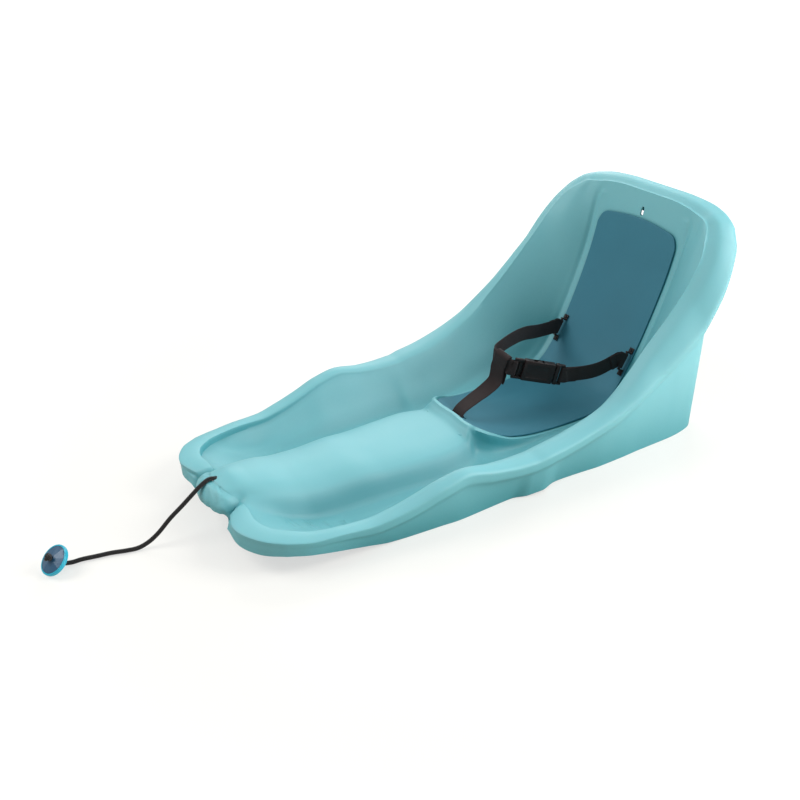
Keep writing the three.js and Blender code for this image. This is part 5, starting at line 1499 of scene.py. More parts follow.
@dataclass(frozen=True)
class HullRelief:
    """Fine relief on the hull's skin.

    The treads are short ribs in the leg wells, and the grooves run across the front of the nose. The notches are
    the two valleys that part the nose from the toe lobes, with the nose's own crown between them. The bead is the
    soft roll round the liner, strongest at the seat's front lip. Steps and ranges are in metres, apart from the
    bead's, which are in rows of the net.
    """

    tread_places: tuple[tuple[float, float], ...] = (
        (0.083, -0.326), (0.087, -0.318), (0.091, -0.300), (0.094, -0.293), (0.098, -0.276), (0.100, -0.270),
        (0.103, -0.252), (0.105, -0.246))
    tread_half: float = 0.011
    tread_width: float = 0.0024
    tread_rise: float = 0.0015
    tread_slant: float = 0.35
    tread_top: float = 0.075
    groove_pitch: float = 0.009
    groove_depth: float = 0.0013
    groove_back: float = -0.389
    groove_step: float = 0.004
    groove_foot: float = 0.03
    groove_start: tuple[float, float] = (0.006, 0.014)
    groove_reach: float = 0.046
    groove_slant: float = 0.275
    groove_wander: float = 0.0006
    groove_wander_rate: float = 400
    notch_place: float = 0.042
    notch_slant: float = 0.32
    notch_width: float = 0.0095
    notch_start: float = -0.374
    notch_step: float = 0.012
    notch_foot: tuple[float, float] = (0.02, 0.04)
    notch_depth: float = 0.011
    nose_start: float = -0.345
    nose_step: float = 0.03
    nose_foot: tuple[float, float] = (0.02, 0.045)
    nose_half: float = 0.034
    nose_rise: float = 0.0045
    bead_rise: float = 0.005
    bead_reach: float = 0.0125
    bead_edge: float = 0.0022
    bead_rows: tuple[float, float] = (1.2, 0.5)
    bead_front: tuple[float, float] = (0.3, 2.2)
    bead_least: float = 0.3
    column_width: float = 0.021
    row_width: float = 0.024

    def notch(self, place: Vector) -> float:
        """How far the skin is raised for the nose's crown or let down beside it.

        Args:
            place: the place on the skin.

        Returns:
            The change of its height.
        """
        x = abs(place.x)
        ahead = fade(-place.y, -self.nose_start, self.nose_step - self.nose_start) * fade(place.z, *self.nose_foot)
        crown = self.nose_rise * (1 - min(x / self.nose_half, 1) ** 2)
        line = self.notch_place + (self.notch_start - place.y) * self.notch_slant
        valley = max(1 - abs(x - line) / self.notch_width, 0) ** 1.3
        deep = fade(-place.y, -self.notch_start - self.notch_step, self.notch_step - self.notch_start)
        return ahead * crown - self.notch_depth * valley * deep * fade(place.z, *self.notch_foot)

    def bead(self, across: float, along: float, liner: SeatLiner) -> float:
        """The height of the bead round the liner.

        Args:
            across: the place across.
            along: the place along.
            liner: the liner that the bead runs round.

        Returns:
            The height.
        """
        before, after = self.bead_rows
        if not liner.front - before <= along <= liner.top + after:
            return 0.0
        beside = (abs(across) - liner.reach(along)) * self.column_width
        ahead = (liner.front - along) * self.row_width
        off = max(beside, ahead) if min(beside, ahead) < 0 else math.hypot(beside, ahead)
        if off <= 0:
            return 0.0
        shape = fade(off, 0, self.bead_edge) * (1 - fade(off, self.bead_reach * 0.5, self.bead_reach))
        start, end = (liner.front + row for row in self.bead_front)
        front = 1 - fade(along, start, end)
        return self.bead_rise * shape * (self.bead_least + (1 - self.bead_least) * front)

    def height(self, place: Vector) -> float:
        """How far the treads and the grooves stand out at a place."""
        return self._treads(place) - self._grooves(place)

    def _treads(self, place: Vector) -> float:
        """The height of the treads.

        Args:
            place: the place on the skin.

        Returns:
            The height there.
        """
        x, total = abs(place.x), 0.0
        if place.z >= self.tread_top:
            return total
        for tread_x, tread_y in self.tread_places:
            off = x - tread_x
            if abs(off) < self.tread_half * 1.3:
                line = abs(place.y - tread_y - off * self.tread_slant)
                end = 1 - fade(abs(off), self.tread_half * 0.7, self.tread_half * 1.2)
                total += self.tread_rise * (1 - fade(line, 0, self.tread_width)) * end
        return total

    def _grooves(self, place: Vector) -> float:
        """The depth of the grooves.

        Args:
            place: the place on the skin.

        Returns:
            The depth there.
        """
        x = abs(place.x)
        if x >= self.groove_reach or place.y >= self.groove_back or place.z <= self.groove_foot:
            return 0.0
        along = place.y + x * self.groove_slant + self.groove_wander * math.sin(x * self.groove_wander_rate)
        wave = max(math.cos(math.tau * along / self.groove_pitch), 0.0) ** 2
        near = fade(x, *self.groove_start) * (1 - fade(x, self.groove_reach * 0.7, self.groove_reach))
        ahead = fade(-place.y, -self.groove_back, self.groove_step - self.groove_back)
        return self.groove_depth * wave * near * ahead


@dataclass
class HullShell:
    """The moulded hull: its skin, rim, skirt and wall, with the slots and holes cut in it."""

    net: SkinNet
    cord: TowCord
    liner: SeatLiner
    reel_place: Vector
    column_steps: tuple[int, ...] = (10, 8, 6, 10, 10, 6)
    row_steps: tuple[int, ...] = (14, 18, 18, 16, 12, 8, 6, 6, 6, 8, 10, 8, 6, 6, 8, 8, 8, 8, 8, 8, 10)
    ring_steps: int = 4
    rim_parts: int = 8
    relief: HullRelief = HullRelief()
    slot: CrotchSlot = CrotchSlot()
    wall: float = HULL_WALL
    sole_start: float = 0.19
    sole_end: float = 0.62
    sole_columns: tuple[float, float] = (3.5, 4.5)
    hang_height: float = 0.886
    hang_length: float = 0.04
    hang_width: float = 0.03
    hang_reach: float = 0.006
    window_width: float = 0.5
    window_top: float = 0.87
    window_corner: float = 0.19
    window_depth: float = 0.9
    window_slack: float = 0.02
    cord_room: float = 0.0013
    cord_reach: float = 0.015
    boss_angles: tuple[float, ...] = (math.pi / 6, 5 * math.pi / 6, 3 * math.pi / 2)
    boss_ring: float = 0.0483
    boss_radius: float = 0.0046
    boss_foot: float = 0.0063
    sharp: float = 40

    @staticmethod
    def _places(steps: Sequence[int]) -> list[float]:
        """Places along the net, with so many steps between each whole number and the next."""
        return [k + step / count for k, count in enumerate(steps) for step in range(count)] + [float(len(steps))]

    def _skin(self, bm: BMesh) -> None:
        """Lays the skin as one fine grid and marks its edge with its stations.

        Args:
            bm: the empty bmesh that takes it.
        """
        across, along, station = (bm.verts.layers.float.new(n) for n in ("across", "along", "station"))
        columns, rows = self._places(self.column_steps), self._places(self.row_steps)
        wide, long = len(columns) - 1, len(rows) - 1
        bmesh.ops.create_grid(bm, x_segments=wide * 2, y_segments=long, size=1.0)
        for vert in bm.verts:
            column = round(vert.co.x * wide)
            u = math.copysign(columns[abs(column)], column)
            v = rows[round((vert.co.y + 1) / 2 * long)]
            vert[across], vert[along] = u, v
            if v == 0:
                vert[station] = abs(u)
            elif v == self.net.last_row:
                vert[station] = self.net.perimeter_end - abs(u)
            else:
                vert[station] = self.net.last_column + v
            vert.co = self.net.point(u, v)
            vert.co.z -= self.net.step(u, v)

    def _rim(self, bm: BMesh) -> None:
        """Carries the skin's edge out over the band and down the skirt, ring by ring.

        Args:
            bm: the bmesh with the skin.
        """
        across, along, station = (bm.verts.layers.float[n] for n in ("across", "along", "station"))
        edges = [edge for edge in bm.edges if edge.is_boundary]
        sections: dict[float, list[SmoothLine]] = {}
        for ring in range(1, self.rim_parts * self.ring_steps + 1):
            made = bmesh.ops.extrude_edge_only(bm, edges=edges)
            verts = verts_of(made)
            fresh = set(verts)
            edges = [g for g in made["geom"] if isinstance(g, BMEdge) and set(g.verts) <= fresh]
            for vert in verts:
                key = round(vert[station], 5)
                if key not in sections:
                    points = self.net.rim_section(key)
                    sections[key] = [SmoothLine([p[c] for p in points]) for c in range(3)]
                x, y, z = (line(ring / self.ring_steps) for line in sections[key])
                vert.co = Vector((-x if vert[across] < 0 else x, y, z))
                vert[along] = -1.0

    def _relief(self, bm: BMesh) -> None:
        """Shapes the nose and its notches, then raises the bead and the treads and presses the grooves in.

        Args:
            bm: the bmesh with the skin and the rim.
        """
        across, along = (bm.verts.layers.float[n] for n in ("across", "along"))
        for vert in bm.verts:
            vert.co.z += self.relief.notch(vert.co)
        bm.normal_update()
        heights = []
        for vert in bm.verts:
            bead = self.relief.bead(vert[across], vert[along], self.liner)
            heights.append((vert, vert.normal.copy(), self.relief.height(vert.co) + bead))
        for vert, normal, height in heights:
            if height:
                vert.co += normal * height

    def _wall(self, bm: BMesh) -> None:
        """Gives the skin its wall and the leg wells their flat soles.

        Args:
            bm: the bmesh with the finished outer face.
        """
        across, along = (bm.verts.layers.float[n] for n in ("across", "along"))
        inner, outer = self.sole_columns
        inward = bm.verts.layers.float_vector.new("inward")
        bm.normal_update()
        for vert in bm.verts:
            normal = vert.normal.copy()
            if vert.is_boundary:
                normal.z = 0
            vert[inward] = normal.normalized()
        made = bmesh.ops.duplicate(bm, geom=list(bm.verts) + list(bm.edges) + list(bm.faces))
        copies = verts_of(made)
        for vert in copies:
            vert.co -= vert[inward] * self.wall
            share = vert.co.y / (2 * self.net.half_length) + 0.5
            if vert[along] >= 0 and inner <= abs(vert[across]) <= outer and self.sole_start < share < self.sole_end:
                vert.co.z = 0
            vert.co.z = max(vert.co.z, 0.0)
        bmesh.ops.reverse_faces(bm, faces=[g for g in made["geom"] if isinstance(g, BMFace)])
        bmesh.ops.bridge_loops(bm, edges=[edge for edge in bm.edges if edge.is_boundary])

    def _tools(self, drills: Iterable[Matrix]) -> Object:
        """The slots, holes and back window as one mesh of closed tools.

        Args:
            drills: frames of the screw holes.

        Returns:
            The mesh.
        """
        bm = bmesh.new()
        net = self.net
        plain = Matrix.Identity(4)
        half, corner = self.window_width * net.half_width, self.window_corner * net.half_width
        top, back = self.window_top * net.height, self.window_depth * net.half_length
        add_block(bm, (-half, back, -self.window_slack), (half, net.half_length + self.window_slack, top), plain)
        upper = [e for e in bm.edges if all(v.co.z > 0 for v in e.verts)
                 and abs(e.verts[0].co.y - e.verts[1].co.y) > 0.01]
        round_edges(bm, upper, corner, 16, clamp=False)
        place = net.point(0, net.along_at_height(self.hang_height))
        wide, tall = self.hang_width * net.half_width / 2, self.hang_length * net.height / 2
        slot = Matrix.Translation(place) @ Matrix.Rotation(math.pi / 2, 4, "X")
        for vert in add_rod(bm, wide, -self.hang_reach, self.hang_reach, slot, 24):
            vert.co.z += (tall - wide) * (1 if vert.co.z > place.z else -1)
        y, skin = self.slot.place(net)
        add_block(bm, (-self.slot.reach, y - self.slot.width / 2, skin - self.wall * 3),
                  (self.slot.reach, y + self.slot.width / 2, net.height / 3), plain)
        add_rod(bm, self.cord.diameter / 2 + self.cord_room, -self.cord_reach, self.cord_reach,
                along_axis(self.cord.aim, self.cord.hole), 48)
        add_drills(bm, drills)
        return to_object(bm, "hull_tools", HULL_PLASTIC)

    def build(self, drills: Iterable[Matrix]) -> Object:
        """Builds the hull.

        Args:
            drills: frames whose third direction is the axis of each screw hole in the back.

        Returns:
            The piece.
        """
        bm = bmesh.new()
        self._skin(bm)
        self._rim(bm)
        self._relief(bm)
        self._wall(bm)
        hull = to_object(bm, "hull_moulding", HULL_PLASTIC, self.sharp)
        bm = bmesh.new()
        for angle in self.boss_angles:
            ear = self.reel_place + Vector((math.cos(angle), math.sin(angle), 0)) * self.boss_ring
            top = self.net.height_over(ear.x, ear.y) - self.wall / 2
            add_rod(bm, self.boss_radius, self.boss_foot, top, Matrix.Translation((ear.x, ear.y, 0)))
        cut_with(hull, to_object(bm, "hull_bosses", HULL_PLASTIC), "UNION")
        cut_with(hull, self._tools(drills))
        shade(hull.data, self.sharp)
        return settle(hull, Body.HULL, Slot.HULL, "hull_shell")


# Belt


@dataclass
class StrapLoop:
    """One bracket that holds the waist belt, with its frame on the liner's face."""

    net: SkinNet
    sign: int
    across: float = 1.66
    along: float = 17.1
    skin_depth: float = 0.0036
    lift: float = 0.0019
    rise: float = 0.008
    bar_radius: float = 0.002
    leg: float = 0.0024
    half: float = 0.0165
    foot_length: float = 0.008
    foot_thickness: float = 0.002
    foot_edge: float = 0.0007
    leg_share: float = 1.3
    leg_edge: float = 0.0008
    leg_lift: float = 0.0002
    width: float = 0.009

    def __post_init__(self) -> None:
        """Finds the loop's frame."""
        _, up, out = self.net.axes(self.across, self.along)
        skin = self.net.point(self.across, self.along)
        self.out = Vector((self.sign * out.x, out.y, out.z))
        self.up = Vector((self.sign * up.x, up.y, up.z))
        self.side = self.up.cross(self.out)
        self.origin = Vector((self.sign * skin.x, skin.y, skin.z)) + self.out * self.skin_depth
        self.matrix = basis(self.side, self.up, self.out, self.origin)
        self.name = "left" if self.sign > 0 else "right"

    @property
    def screw_frames(self) -> list[Matrix]:
        """The frames of its two screws."""
        reach = self.half + self.foot_length / 2
        return [self.matrix @ Matrix.Translation((0, sign * reach, 0)) for sign in (-1, 1)]

    def bar(self) -> Vector:
        """The middle of its bar."""
        return self.origin + self.out * (self.lift + self.rise)

    def build(self) -> None:
        """Builds the bracket and dresses its plate and screws."""
        bm = bmesh.new()
        turn = self.matrix @ Matrix.Translation((0, 0, self.lift + self.rise)) @ Matrix.Rotation(math.pi / 2, 4, "X")
        add_rod(bm, self.bar_radius, -self.half + self.leg / 2, self.half - self.leg / 2, turn, 24)
        bracket = to_object(bm, f"belt_bracket_{self.name}", BUCKLE_PLASTIC)
        inner, wide = self.half - self.leg, self.bar_radius * self.leg_share
        parts = ((self.width / 2, self.half + self.foot_length, self.lift, self.lift + self.foot_thickness,
                  self.foot_edge),
                 (wide, self.half, self.lift + self.leg_lift, self.lift + self.rise + self.bar_radius, self.leg_edge))
        for end in (-1, 1):
            for side, reach, foot, top, corner in parts:
                bm = bmesh.new()
                low, high = sorted((end * inner, end * reach))
                add_block(bm, (-side, low, foot), (side, high, top), self.matrix, corner)
                cut_with(bracket, to_object(bm, "bracket_part", BUCKLE_PLASTIC), "UNION")
        bm = bmesh.new()
        add_drills(bm, self.screw_frames, 0.01)
        cut_with(bracket, to_object(bm, "bracket_drills", BUCKLE_PLASTIC))
        shade(bracket.data, 35)
        settle(bracket, Body.HULL, Slot.BUCKLE, f"strap_loop_{self.name}")
        dress_node(f"backing_plate_{self.name}", BUCKLE_PLASTIC)
        for end in ("lower", "upper"):
            dress_node(f"loop_screw_{self.name}_{end}", DARK_STEEL)


@dataclass(frozen=True)
class Corners:
    """How far the edges of each block of the buckle are rounded."""

    socket: float = 0.0016
    clip: float = 0.0012
    side_bar: float = 0.0009
    window: float = 0.0008
    tongue: float = 0.0007
    second_bar: float = 0.0005
    badge: float = 0.0005
    cavity: float = 0.0004
    plate: float = 0.0002


@dataclass
class Buckle:
    """The side-release buckle: its socket, its clip and the clip's two sprung arms."""

    net: SkinNet
    corners: Corners = Corners()
    place_shares: tuple[float, float, float] = (0.083, 0.254, 0.313)
    aim_shares: tuple[float, float, float] = (0.255, 0.428, 0.264)
    width: float = 0.035
    thickness: float = 0.011
    wall: float = 0.0024
    bar_radius: float = 0.0017
    web_width: float = 0.0254
    socket_length: float = 0.067
    ladder: float = 0.016
    ladder_web: float = 0.002
    window_offset: float = 0.014
    window_length: float = 0.018
    travel_gap: float = 0.0016
    clip_block: float = 0.0064
    clip_length: float = 0.0148
    loose: float = 0.0006
    bar_room: float = 0.0009
    inset: float = 0.001
    plate_gap: float = 0.0012
    plate_top: float = 0.0004
    second_bar: float = 0.0036
    window_floor: float = 0.002
    badge: float = 0.62
    badge_depth: float = 0.0006
    badge_ends: tuple[float, float] = (0.006, 0.008)
    tongue_half: tuple[float, float] = (0.0035, 0.0023)
    arm_length: float = 0.0365
    arm_thickness: float = 0.0032
    arm_head: float = 0.015
    arm_edge: float = 0.00035
    pad_foot: tuple[tuple[float, float], ...] = ((0.001, 0.0), (0.0, 0.0006))
    pad_brow: tuple[tuple[float, float], ...] = ((-0.0008, -0.0004), (-0.002, 0.0))
    pad_slope: float = 0.4
    tip_ease: float = 0.002
    tip_heights: tuple[float, float] = (1.05, 0.8)
    rod_sides: int = 24
    socket_lap: float = 0.006
    plate_lap: float = 0.003
    cut_past: float = 0.002
    window_past: float = 0.001
    clip_lap: float = 0.002
    tongue_lap: float = 0.001
    side_swell: float = 1.6
    plate_swell: float = 1.5

    def __post_init__(self) -> None:
        """Finds the buckle's frame: x to the clip, y its width, z out."""
        self.origin = self.net.place(*self.place_shares)
        self.x = (self.net.place(*self.aim_shares) - self.origin).normalized()
        self.y = squared(Vector((0, 0, 1)), self.x)
        self.z = self.x.cross(self.y)
        self.matrix = basis(self.x, self.y, self.z, self.origin)
        self.socket_bar = self.bar_radius + self.loose
        self.clip_face = self.socket_length + self.travel_gap
        self.clip_end = self.clip_face + self.clip_length
        self.clip_bar = self.clip_end - self.bar_radius - self.loose
        self.bar_reach = self.bar_radius + FIT + self.bar_room

    def at(self, x: float, y: float, z: float) -> Vector:
        """A point of the buckle's frame."""
        return self.matrix @ Vector((x, y, z))

    def _joined(self, name: str, blocks: Sequence[Block], rod: tuple[float, float]) -> Object:
        """Joins blocks and one belt bar into one closed piece.

        Args:
            name: the piece's name.
            blocks: the blocks.
            rod: half the bar's length, and its place along the buckle.

        Returns:
            The piece.
        """
        parts = []
        for low, high, corner in blocks:
            parts.append(bmesh.new())
            add_block(parts[-1], low, high, Matrix.Identity(4), corner)
        reach, x = rod
        parts.append(bmesh.new())
        across = Matrix.Translation((x, 0, 0)) @ Matrix.Rotation(math.pi / 2, 4, "X")
        add_rod(parts[-1], self.bar_radius, -reach, reach, across, self.rod_sides)
        piece = to_object(parts[0], name, BUCKLE_PLASTIC)
        for part in parts[1:]:
            cut_with(piece, to_object(part, "buckle_part", BUCKLE_PLASTIC), "UNION")
        return piece

    def _side_bars(self, start: float, end: float, deep: float) -> list[Block]:
        """The two bars beside the belt, from one place along the buckle to another.

        Args:
            start: where they start along the buckle.
            end: where they end.
            deep: half their thickness.

        Returns:
            The two blocks.
        """
        inner, outer = self.web_width / 2 + self.loose, self.width / 2
        return [((start, low, -deep), (end, high, deep), self.corners.side_bar)
                for low, high in ((-outer, -inner), (inner, outer))]

    def _plate(self, start: float, end: float, deep: float) -> Block:
        """The thin plate behind the belt's slot, from one place along the buckle to another."""
        half = self.width / 2 - self.inset
        return (start, -half, -deep), (end, half, self.plate_top - self.bar_radius), self.corners.plate

    def _seat(self, piece: Object) -> None:
        """Puts a finished piece into the buckle's frame and shades it."""
        piece.data.transform(self.matrix)
        shade(piece.data, 40)

    def build_socket(self) -> Object:
        """The female half, with its ladder of bars and its side windows.

        Returns:
            The piece.
        """
        half, deep = self.width / 2, self.thickness / 2
        web, side = self.web_width / 2 + self.loose, half - self.inset
        bar_deep = self.bar_radius + self.loose
        ladder = self.socket_bar + self.bar_reach
        second = ladder + self.second_bar
        blocks = [((self.ladder, -half, -deep), (self.socket_length, half, deep), self.corners.socket),
                  *self._side_bars(0, self.ladder + self.socket_lap, bar_deep),
                  ((second, -side, -self.bar_radius), (second + self.ladder_web, side, self.bar_radius),
                   self.corners.second_bar),
                  self._plate(ladder + self.plate_gap, self.ladder + self.plate_lap, bar_deep)]
        socket = self._joined("belt_buckle_socket", blocks, (web + self.loose, self.socket_bar))
        cavity, inner = half - self.wall, deep - self.window_floor
        start = self.ladder + self.window_offset
        badge_start, badge_end = self.ladder + self.badge_ends[0], self.socket_length - self.badge_ends[1]
        badge, past = half * self.badge, half + self.window_past
        for low, high, corner in (
                ((self.ladder + self.ladder_web, -cavity, -inner),
                 (self.socket_length + self.cut_past, cavity, inner), self.corners.cavity),
                ((start, -past, -inner), (start + self.window_length, past, inner), self.corners.window),
                ((badge_start, -badge, deep - self.badge_depth), (badge_end, badge, deep + self.cut_past),
                 self.corners.badge)):
            bm = bmesh.new()
            add_block(bm, low, high, Matrix.Identity(4), corner)
            cut_with(socket, to_object(bm, "tool", BUCKLE_PLASTIC))
        self._seat(socket)
        return settle(socket, Body.HULL, Slot.BUCKLE, "buckle_socket")

    def build_clip(self) -> Object:
        """The male half: its block, its belt bar and its tongue.

        Returns:
            The piece.
        """
        half, deep = self.width / 2, self.thickness / 2 - self.loose
        web = self.web_width / 2 + self.loose
        block_end = self.clip_face + self.clip_block
        tongue = self.ladder + self.ladder_web + self.travel_gap * 2
        wide, tall = self.tongue_half
        side_deep, plate_deep = self.bar_radius * self.side_swell, self.bar_radius * self.plate_swell
        plate_end = self.clip_bar - self.bar_reach - self.plate_gap
        blocks = [((self.clip_face, -half, -deep), (block_end, half, deep), self.corners.clip),
                  *self._side_bars(self.clip_face + self.clip_block / 2, self.clip_end, side_deep),
                  self._plate(block_end - self.clip_lap, plate_end, plate_deep),
                  ((tongue, -wide, -tall), (self.clip_face + self.tongue_lap, wide, tall), self.corners.tongue)]
        clip = self._joined("belt_buckle_clip", blocks, (web + self.loose, self.clip_bar))
        self._seat(clip)
        return settle(clip, Body.CLIP, Slot.BUCKLE, "buckle_clip")

    def build(self) -> None:
        """Builds the socket, the clip and the two arms."""
        self.build_socket()
        self.build_clip()
        for sign in (1, -1):
            self.build_arm(sign)

    def build_arm(self, sign: int) -> Object:
        """Builds one sprung arm, with its thumb pad in the socket's window.

        Args:
            sign: 1 for the upper arm, -1 for the lower one.

        Returns:
            The piece.
        """
        thick = self.arm_thickness
        root = self.clip_face - self.loose
        outer = self.width / 2 - self.wall - self.loose
        inner, tip = outer - thick, root - self.arm_length
        head, top = tip + self.arm_head, self.width / 2 - FIT
        deep = self.thickness / 2 - self.window_floor - self.loose
        brow, nib = (inner + thick * share for share in self.tip_heights)
        outline = [(root, inner), (root, outer), *((head + x, outer + y) for x, y in self.pad_foot),
                   *((head + x, top + y) for x, y in self.pad_brow), (head - self.arm_head * self.pad_slope, top),
                   (tip + self.tip_ease, brow), (tip, nib), (tip, inner)]
        bm = bmesh.new()
        face = bm.faces.new([bm.verts.new((x, y, -deep)) for x, y in outline])
        made = bmesh.ops.extrude_face_region(bm, geom=[face])
        bmesh.ops.translate(bm, vec=(0, 0, deep * 2), verts=verts_of(made))
        bmesh.ops.recalc_face_normals(bm, faces=list(bm.faces))
        round_edges(bm, list(bm.edges), self.arm_edge, 2)
        if sign < 0:
            bmesh.ops.rotate(bm, matrix=Matrix.Rotation(math.pi, 3, "X"), verts=list(bm.verts))
        name = "upper" if sign > 0 else "lower"
        arm = to_object(bm, f"belt_buckle_arm_{name}", BUCKLE_PLASTIC)
        self._seat(arm)
        return settle(arm, Body.ARM_UPPER if sign > 0 else Body.ARM_LOWER, Slot.BUCKLE, f"clip_arm_{name}")


@dataclass
class Belt:
    """The three straps of the belt."""

    net: SkinNet
    buckle: Buckle
    left: StrapLoop
    right: StrapLoop
    width: float = 0.0254
    thickness: float = 0.0018
    edge_inset: float = 0.3
    edge_rise: float = 0.75
    edge_steps: int = 10
    loose: float = 0.0006
    fold_closing: float = 0.014
    waist_tail: float = 0.024
    socket_tail: float = 0.04
    crotch_tail: float = 0.014
    crotch_bar: float = 0.0016
    crotch_bar_gap: float = 0.0014
    sleeve_tail: float = 0.003
    fold_turns: int = 14
    right_shares: tuple[tuple[float, float, float], ...] = (
        (-0.335, 0.56, 0.302), (-0.285, 0.462, 0.33), (-0.215, 0.372, 0.347), (-0.142, 0.286, 0.353),
        (-0.095, 0.235, 0.348))
    left_shares: tuple[tuple[float, float, float], ...] = ((0.3, 0.5, 0.26), (0.334, 0.57, 0.264))
    sleeve_shares: tuple[float, float, float] = (0, 0.235, 0.333)
    sleeve_aim: tuple[float, float, float] = (0.062, 0.243, 0.321)
    crotch_run: tuple[tuple[float, float], ...] = ((0.046, 0.152), (0.101, 0.183), (0.164, 0.213), (0.205, 0.245))
    blend_start: float = 0.004
    slot: CrotchSlot = CrotchSlot()
    notch_corner: float = 0.003

    def __post_init__(self) -> None:
        """Finds the sleeve and the crotch strap's bar."""
        self.sleeve = self.net.place(*self.sleeve_shares)
        self.heading = (self.net.place(*self.sleeve_aim) - self.sleeve).normalized()
        y, skin = self.slot.place(self.net)
        drop = HULL_WALL + self.crotch_bar_gap + self.loose + self.crotch_bar
        self.bar_place = Vector((0, y, skin - drop))

    def build(self) -> None:
        """Builds the three straps and dresses the crotch strap's bar."""
        self.build_right()
        self.build_left()
        self.build_crotch()
        dress_node("crotch_strap_bar", STEEL)

    def _fold_radius(self, radius: float) -> float:
        """From a bar's middle to the middle of the strap round it."""
        return radius + FIT + self.thickness / 2

    @staticmethod
    def _stations(points: Sequence[Vector], first: Vector, last: Vector, count: int, held: float,
                  turned: float) -> Ribbon:
        """Lays a strap along a smooth path with straight ends.

        Args:
            points: the path's points.
            first: the direction of the strap's width at the start.
            last: the same at the end.
            count: the steps along the path.
            held: the share of the path after which the width starts to turn.
            turned: the share at which it has turned.

        Returns:
            The strap's middles and width directions.
        """
        middles = [points[0], *RoundedPath(points[1:-1]).spaced(count), points[-1]]
        end = len(middles) - 1
        result = []
        for k, middle in enumerate(middles):
            share = within((k / end - held) / (turned - held))
            result.append((middle, squared(first.lerp(last, share), tangent_at(middles, k))))
        return result

    def _fold_back(self, stations: Ribbon, radius: float, tail: float) -> Ribbon:
        """Carries a strap round the bar at the end of its path and back along itself.

        Args:
            stations: the strap's middles and width directions.
            radius: the bar's radius.
            tail: how far the strap runs back.

        Returns:
            The stations, with those of the fold and the tail after them.
        """
        reach = self._fold_radius(radius)
        middles = [middle for middle, _ in stations]
        last = len(middles) - 1
        width = stations[last][1]
        heading = tangent_at(middles, last)

        def side_at(k: int) -> Vector:
            """The side that the strap folds to at a station."""
            return stations[k][1].cross(tangent_at(middles, k)).normalized()

        side = side_at(last)
        bar = middles[last] + side * reach
        result = list(stations)
        for k in range(1, self.fold_turns + 1):
            angle = math.pi * k / self.fold_turns
            result.append((bar - side * (reach * math.cos(angle)) + heading * (reach * math.sin(angle)), width))
        layer = self.thickness + FIT
        result.append((middles[last] - heading * (reach / 2) + side * (2 * reach), width))
        travelled = 0.0
        for k in range(last - 1, 0, -1):
            if travelled >= tail:
                break
            travelled += (middles[k] - middles[k + 1]).length
            if travelled > reach:
                apart = 2 * reach + (layer - 2 * reach) * fade(travelled, reach / 2, reach / 2 + self.fold_closing)
                result.append((middles[k] + side_at(k) * apart, stations[k][1]))
        return result

    def _fold_both(self, stations: Ribbon, first_radius: float, first_tail: float, last_radius: float,
                   last_tail: float) -> Ribbon:
        """Folds both ends of a strap round their bars.

        Args:
            stations: the strap's middles and width directions.
            first_radius: the radius of the bar at the start.
            first_tail: how far the strap runs back from it.
            last_radius: the radius of the bar at the end.
            last_tail: how far the strap runs back from it.

        Returns:
            The whole strap's middles and width directions.
        """
        added = self._fold_back(stations, last_radius, last_tail)[len(stations):]
        turned = [(middle, -width) for middle, width in reversed(stations)]
        other = self._fold_back(turned, first_radius, first_tail)[len(stations):]
        return [(middle, -width) for middle, width in reversed(other)] + stations + added

    def _ribbon(self, name: str, places: Ribbon) -> Object:
        """Makes a strap with soft edges.

        Args:
            name: the piece's name.
            places: its middles and width directions.

        Returns:
            The piece.
        """
        half, thin = self.width / 2, self.thickness / 2
        steps = self.edge_steps
        flat = [half - thin - (2 * half - 2 * thin) * k / steps for k in range(steps + 1)]
        side, rise = half - thin * self.edge_inset, thin * self.edge_rise
        section = [(half, 0.0), (side, rise), *[(x, thin) for x in flat], (-side, rise),
                   (-half, 0.0), (-side, -rise), *[(-x, -thin) for x in flat], (side, -rise)]
        across = [x for x, _ in section]
        across.append(across[0])
        middles = [middle for middle, _ in places]
        stations = []
        for k, (middle, width) in enumerate(places):
            tangent = tangent_at(middles, k)
            wide = squared(width, tangent)
            stations.append(Station(middle, wide, tangent.cross(wide)))
        bm = sweep(section, stations, across)
        return to_object(bm, name, BELT_WEBBING, 50)

    def _loop_start(self, loop: StrapLoop) -> tuple[Vector, Vector]:
        """Where a strap leaves its loop.

        Args:
            loop: the loop.

        Returns:
            The strap's place on the loop's bar, and the point that it heads for.
        """
        beside = loop.side * -math.copysign(1, loop.side.x * loop.sign)
        point = loop.bar() + beside * self._fold_radius(loop.bar_radius)
        return point, point + loop.out * loop.rise

    def build_right(self) -> Object:
        """The rider's right waist strap, from its loop through the sleeve to the socket.

        Returns:
            The piece.
        """
        buckle, place = self.buckle, self.net.place
        point, lead = self._loop_start(self.right)
        half = self.width / 2 + FIT
        reach = self._fold_radius(buckle.bar_radius)
        points = [point, lead, *[place(*shares) for shares in self.right_shares],
                  self.sleeve - self.heading * half, self.sleeve, self.sleeve + self.heading * half,
                  buckle.at(buckle.socket_bar - reach * 2, 0, -reach), buckle.at(buckle.socket_bar, 0, -reach)]
        stations = self._stations(points, -self.right.up, Vector((0, 0, -1)), 160, 0.05, 0.5)
        places = self._fold_both(stations, self.right.bar_radius, self.waist_tail, buckle.bar_radius,
                                 self.socket_tail)
        return settle(self._ribbon("waist_belt_right", places), Body.HULL, Slot.WEBBING, "waist_strap_right")

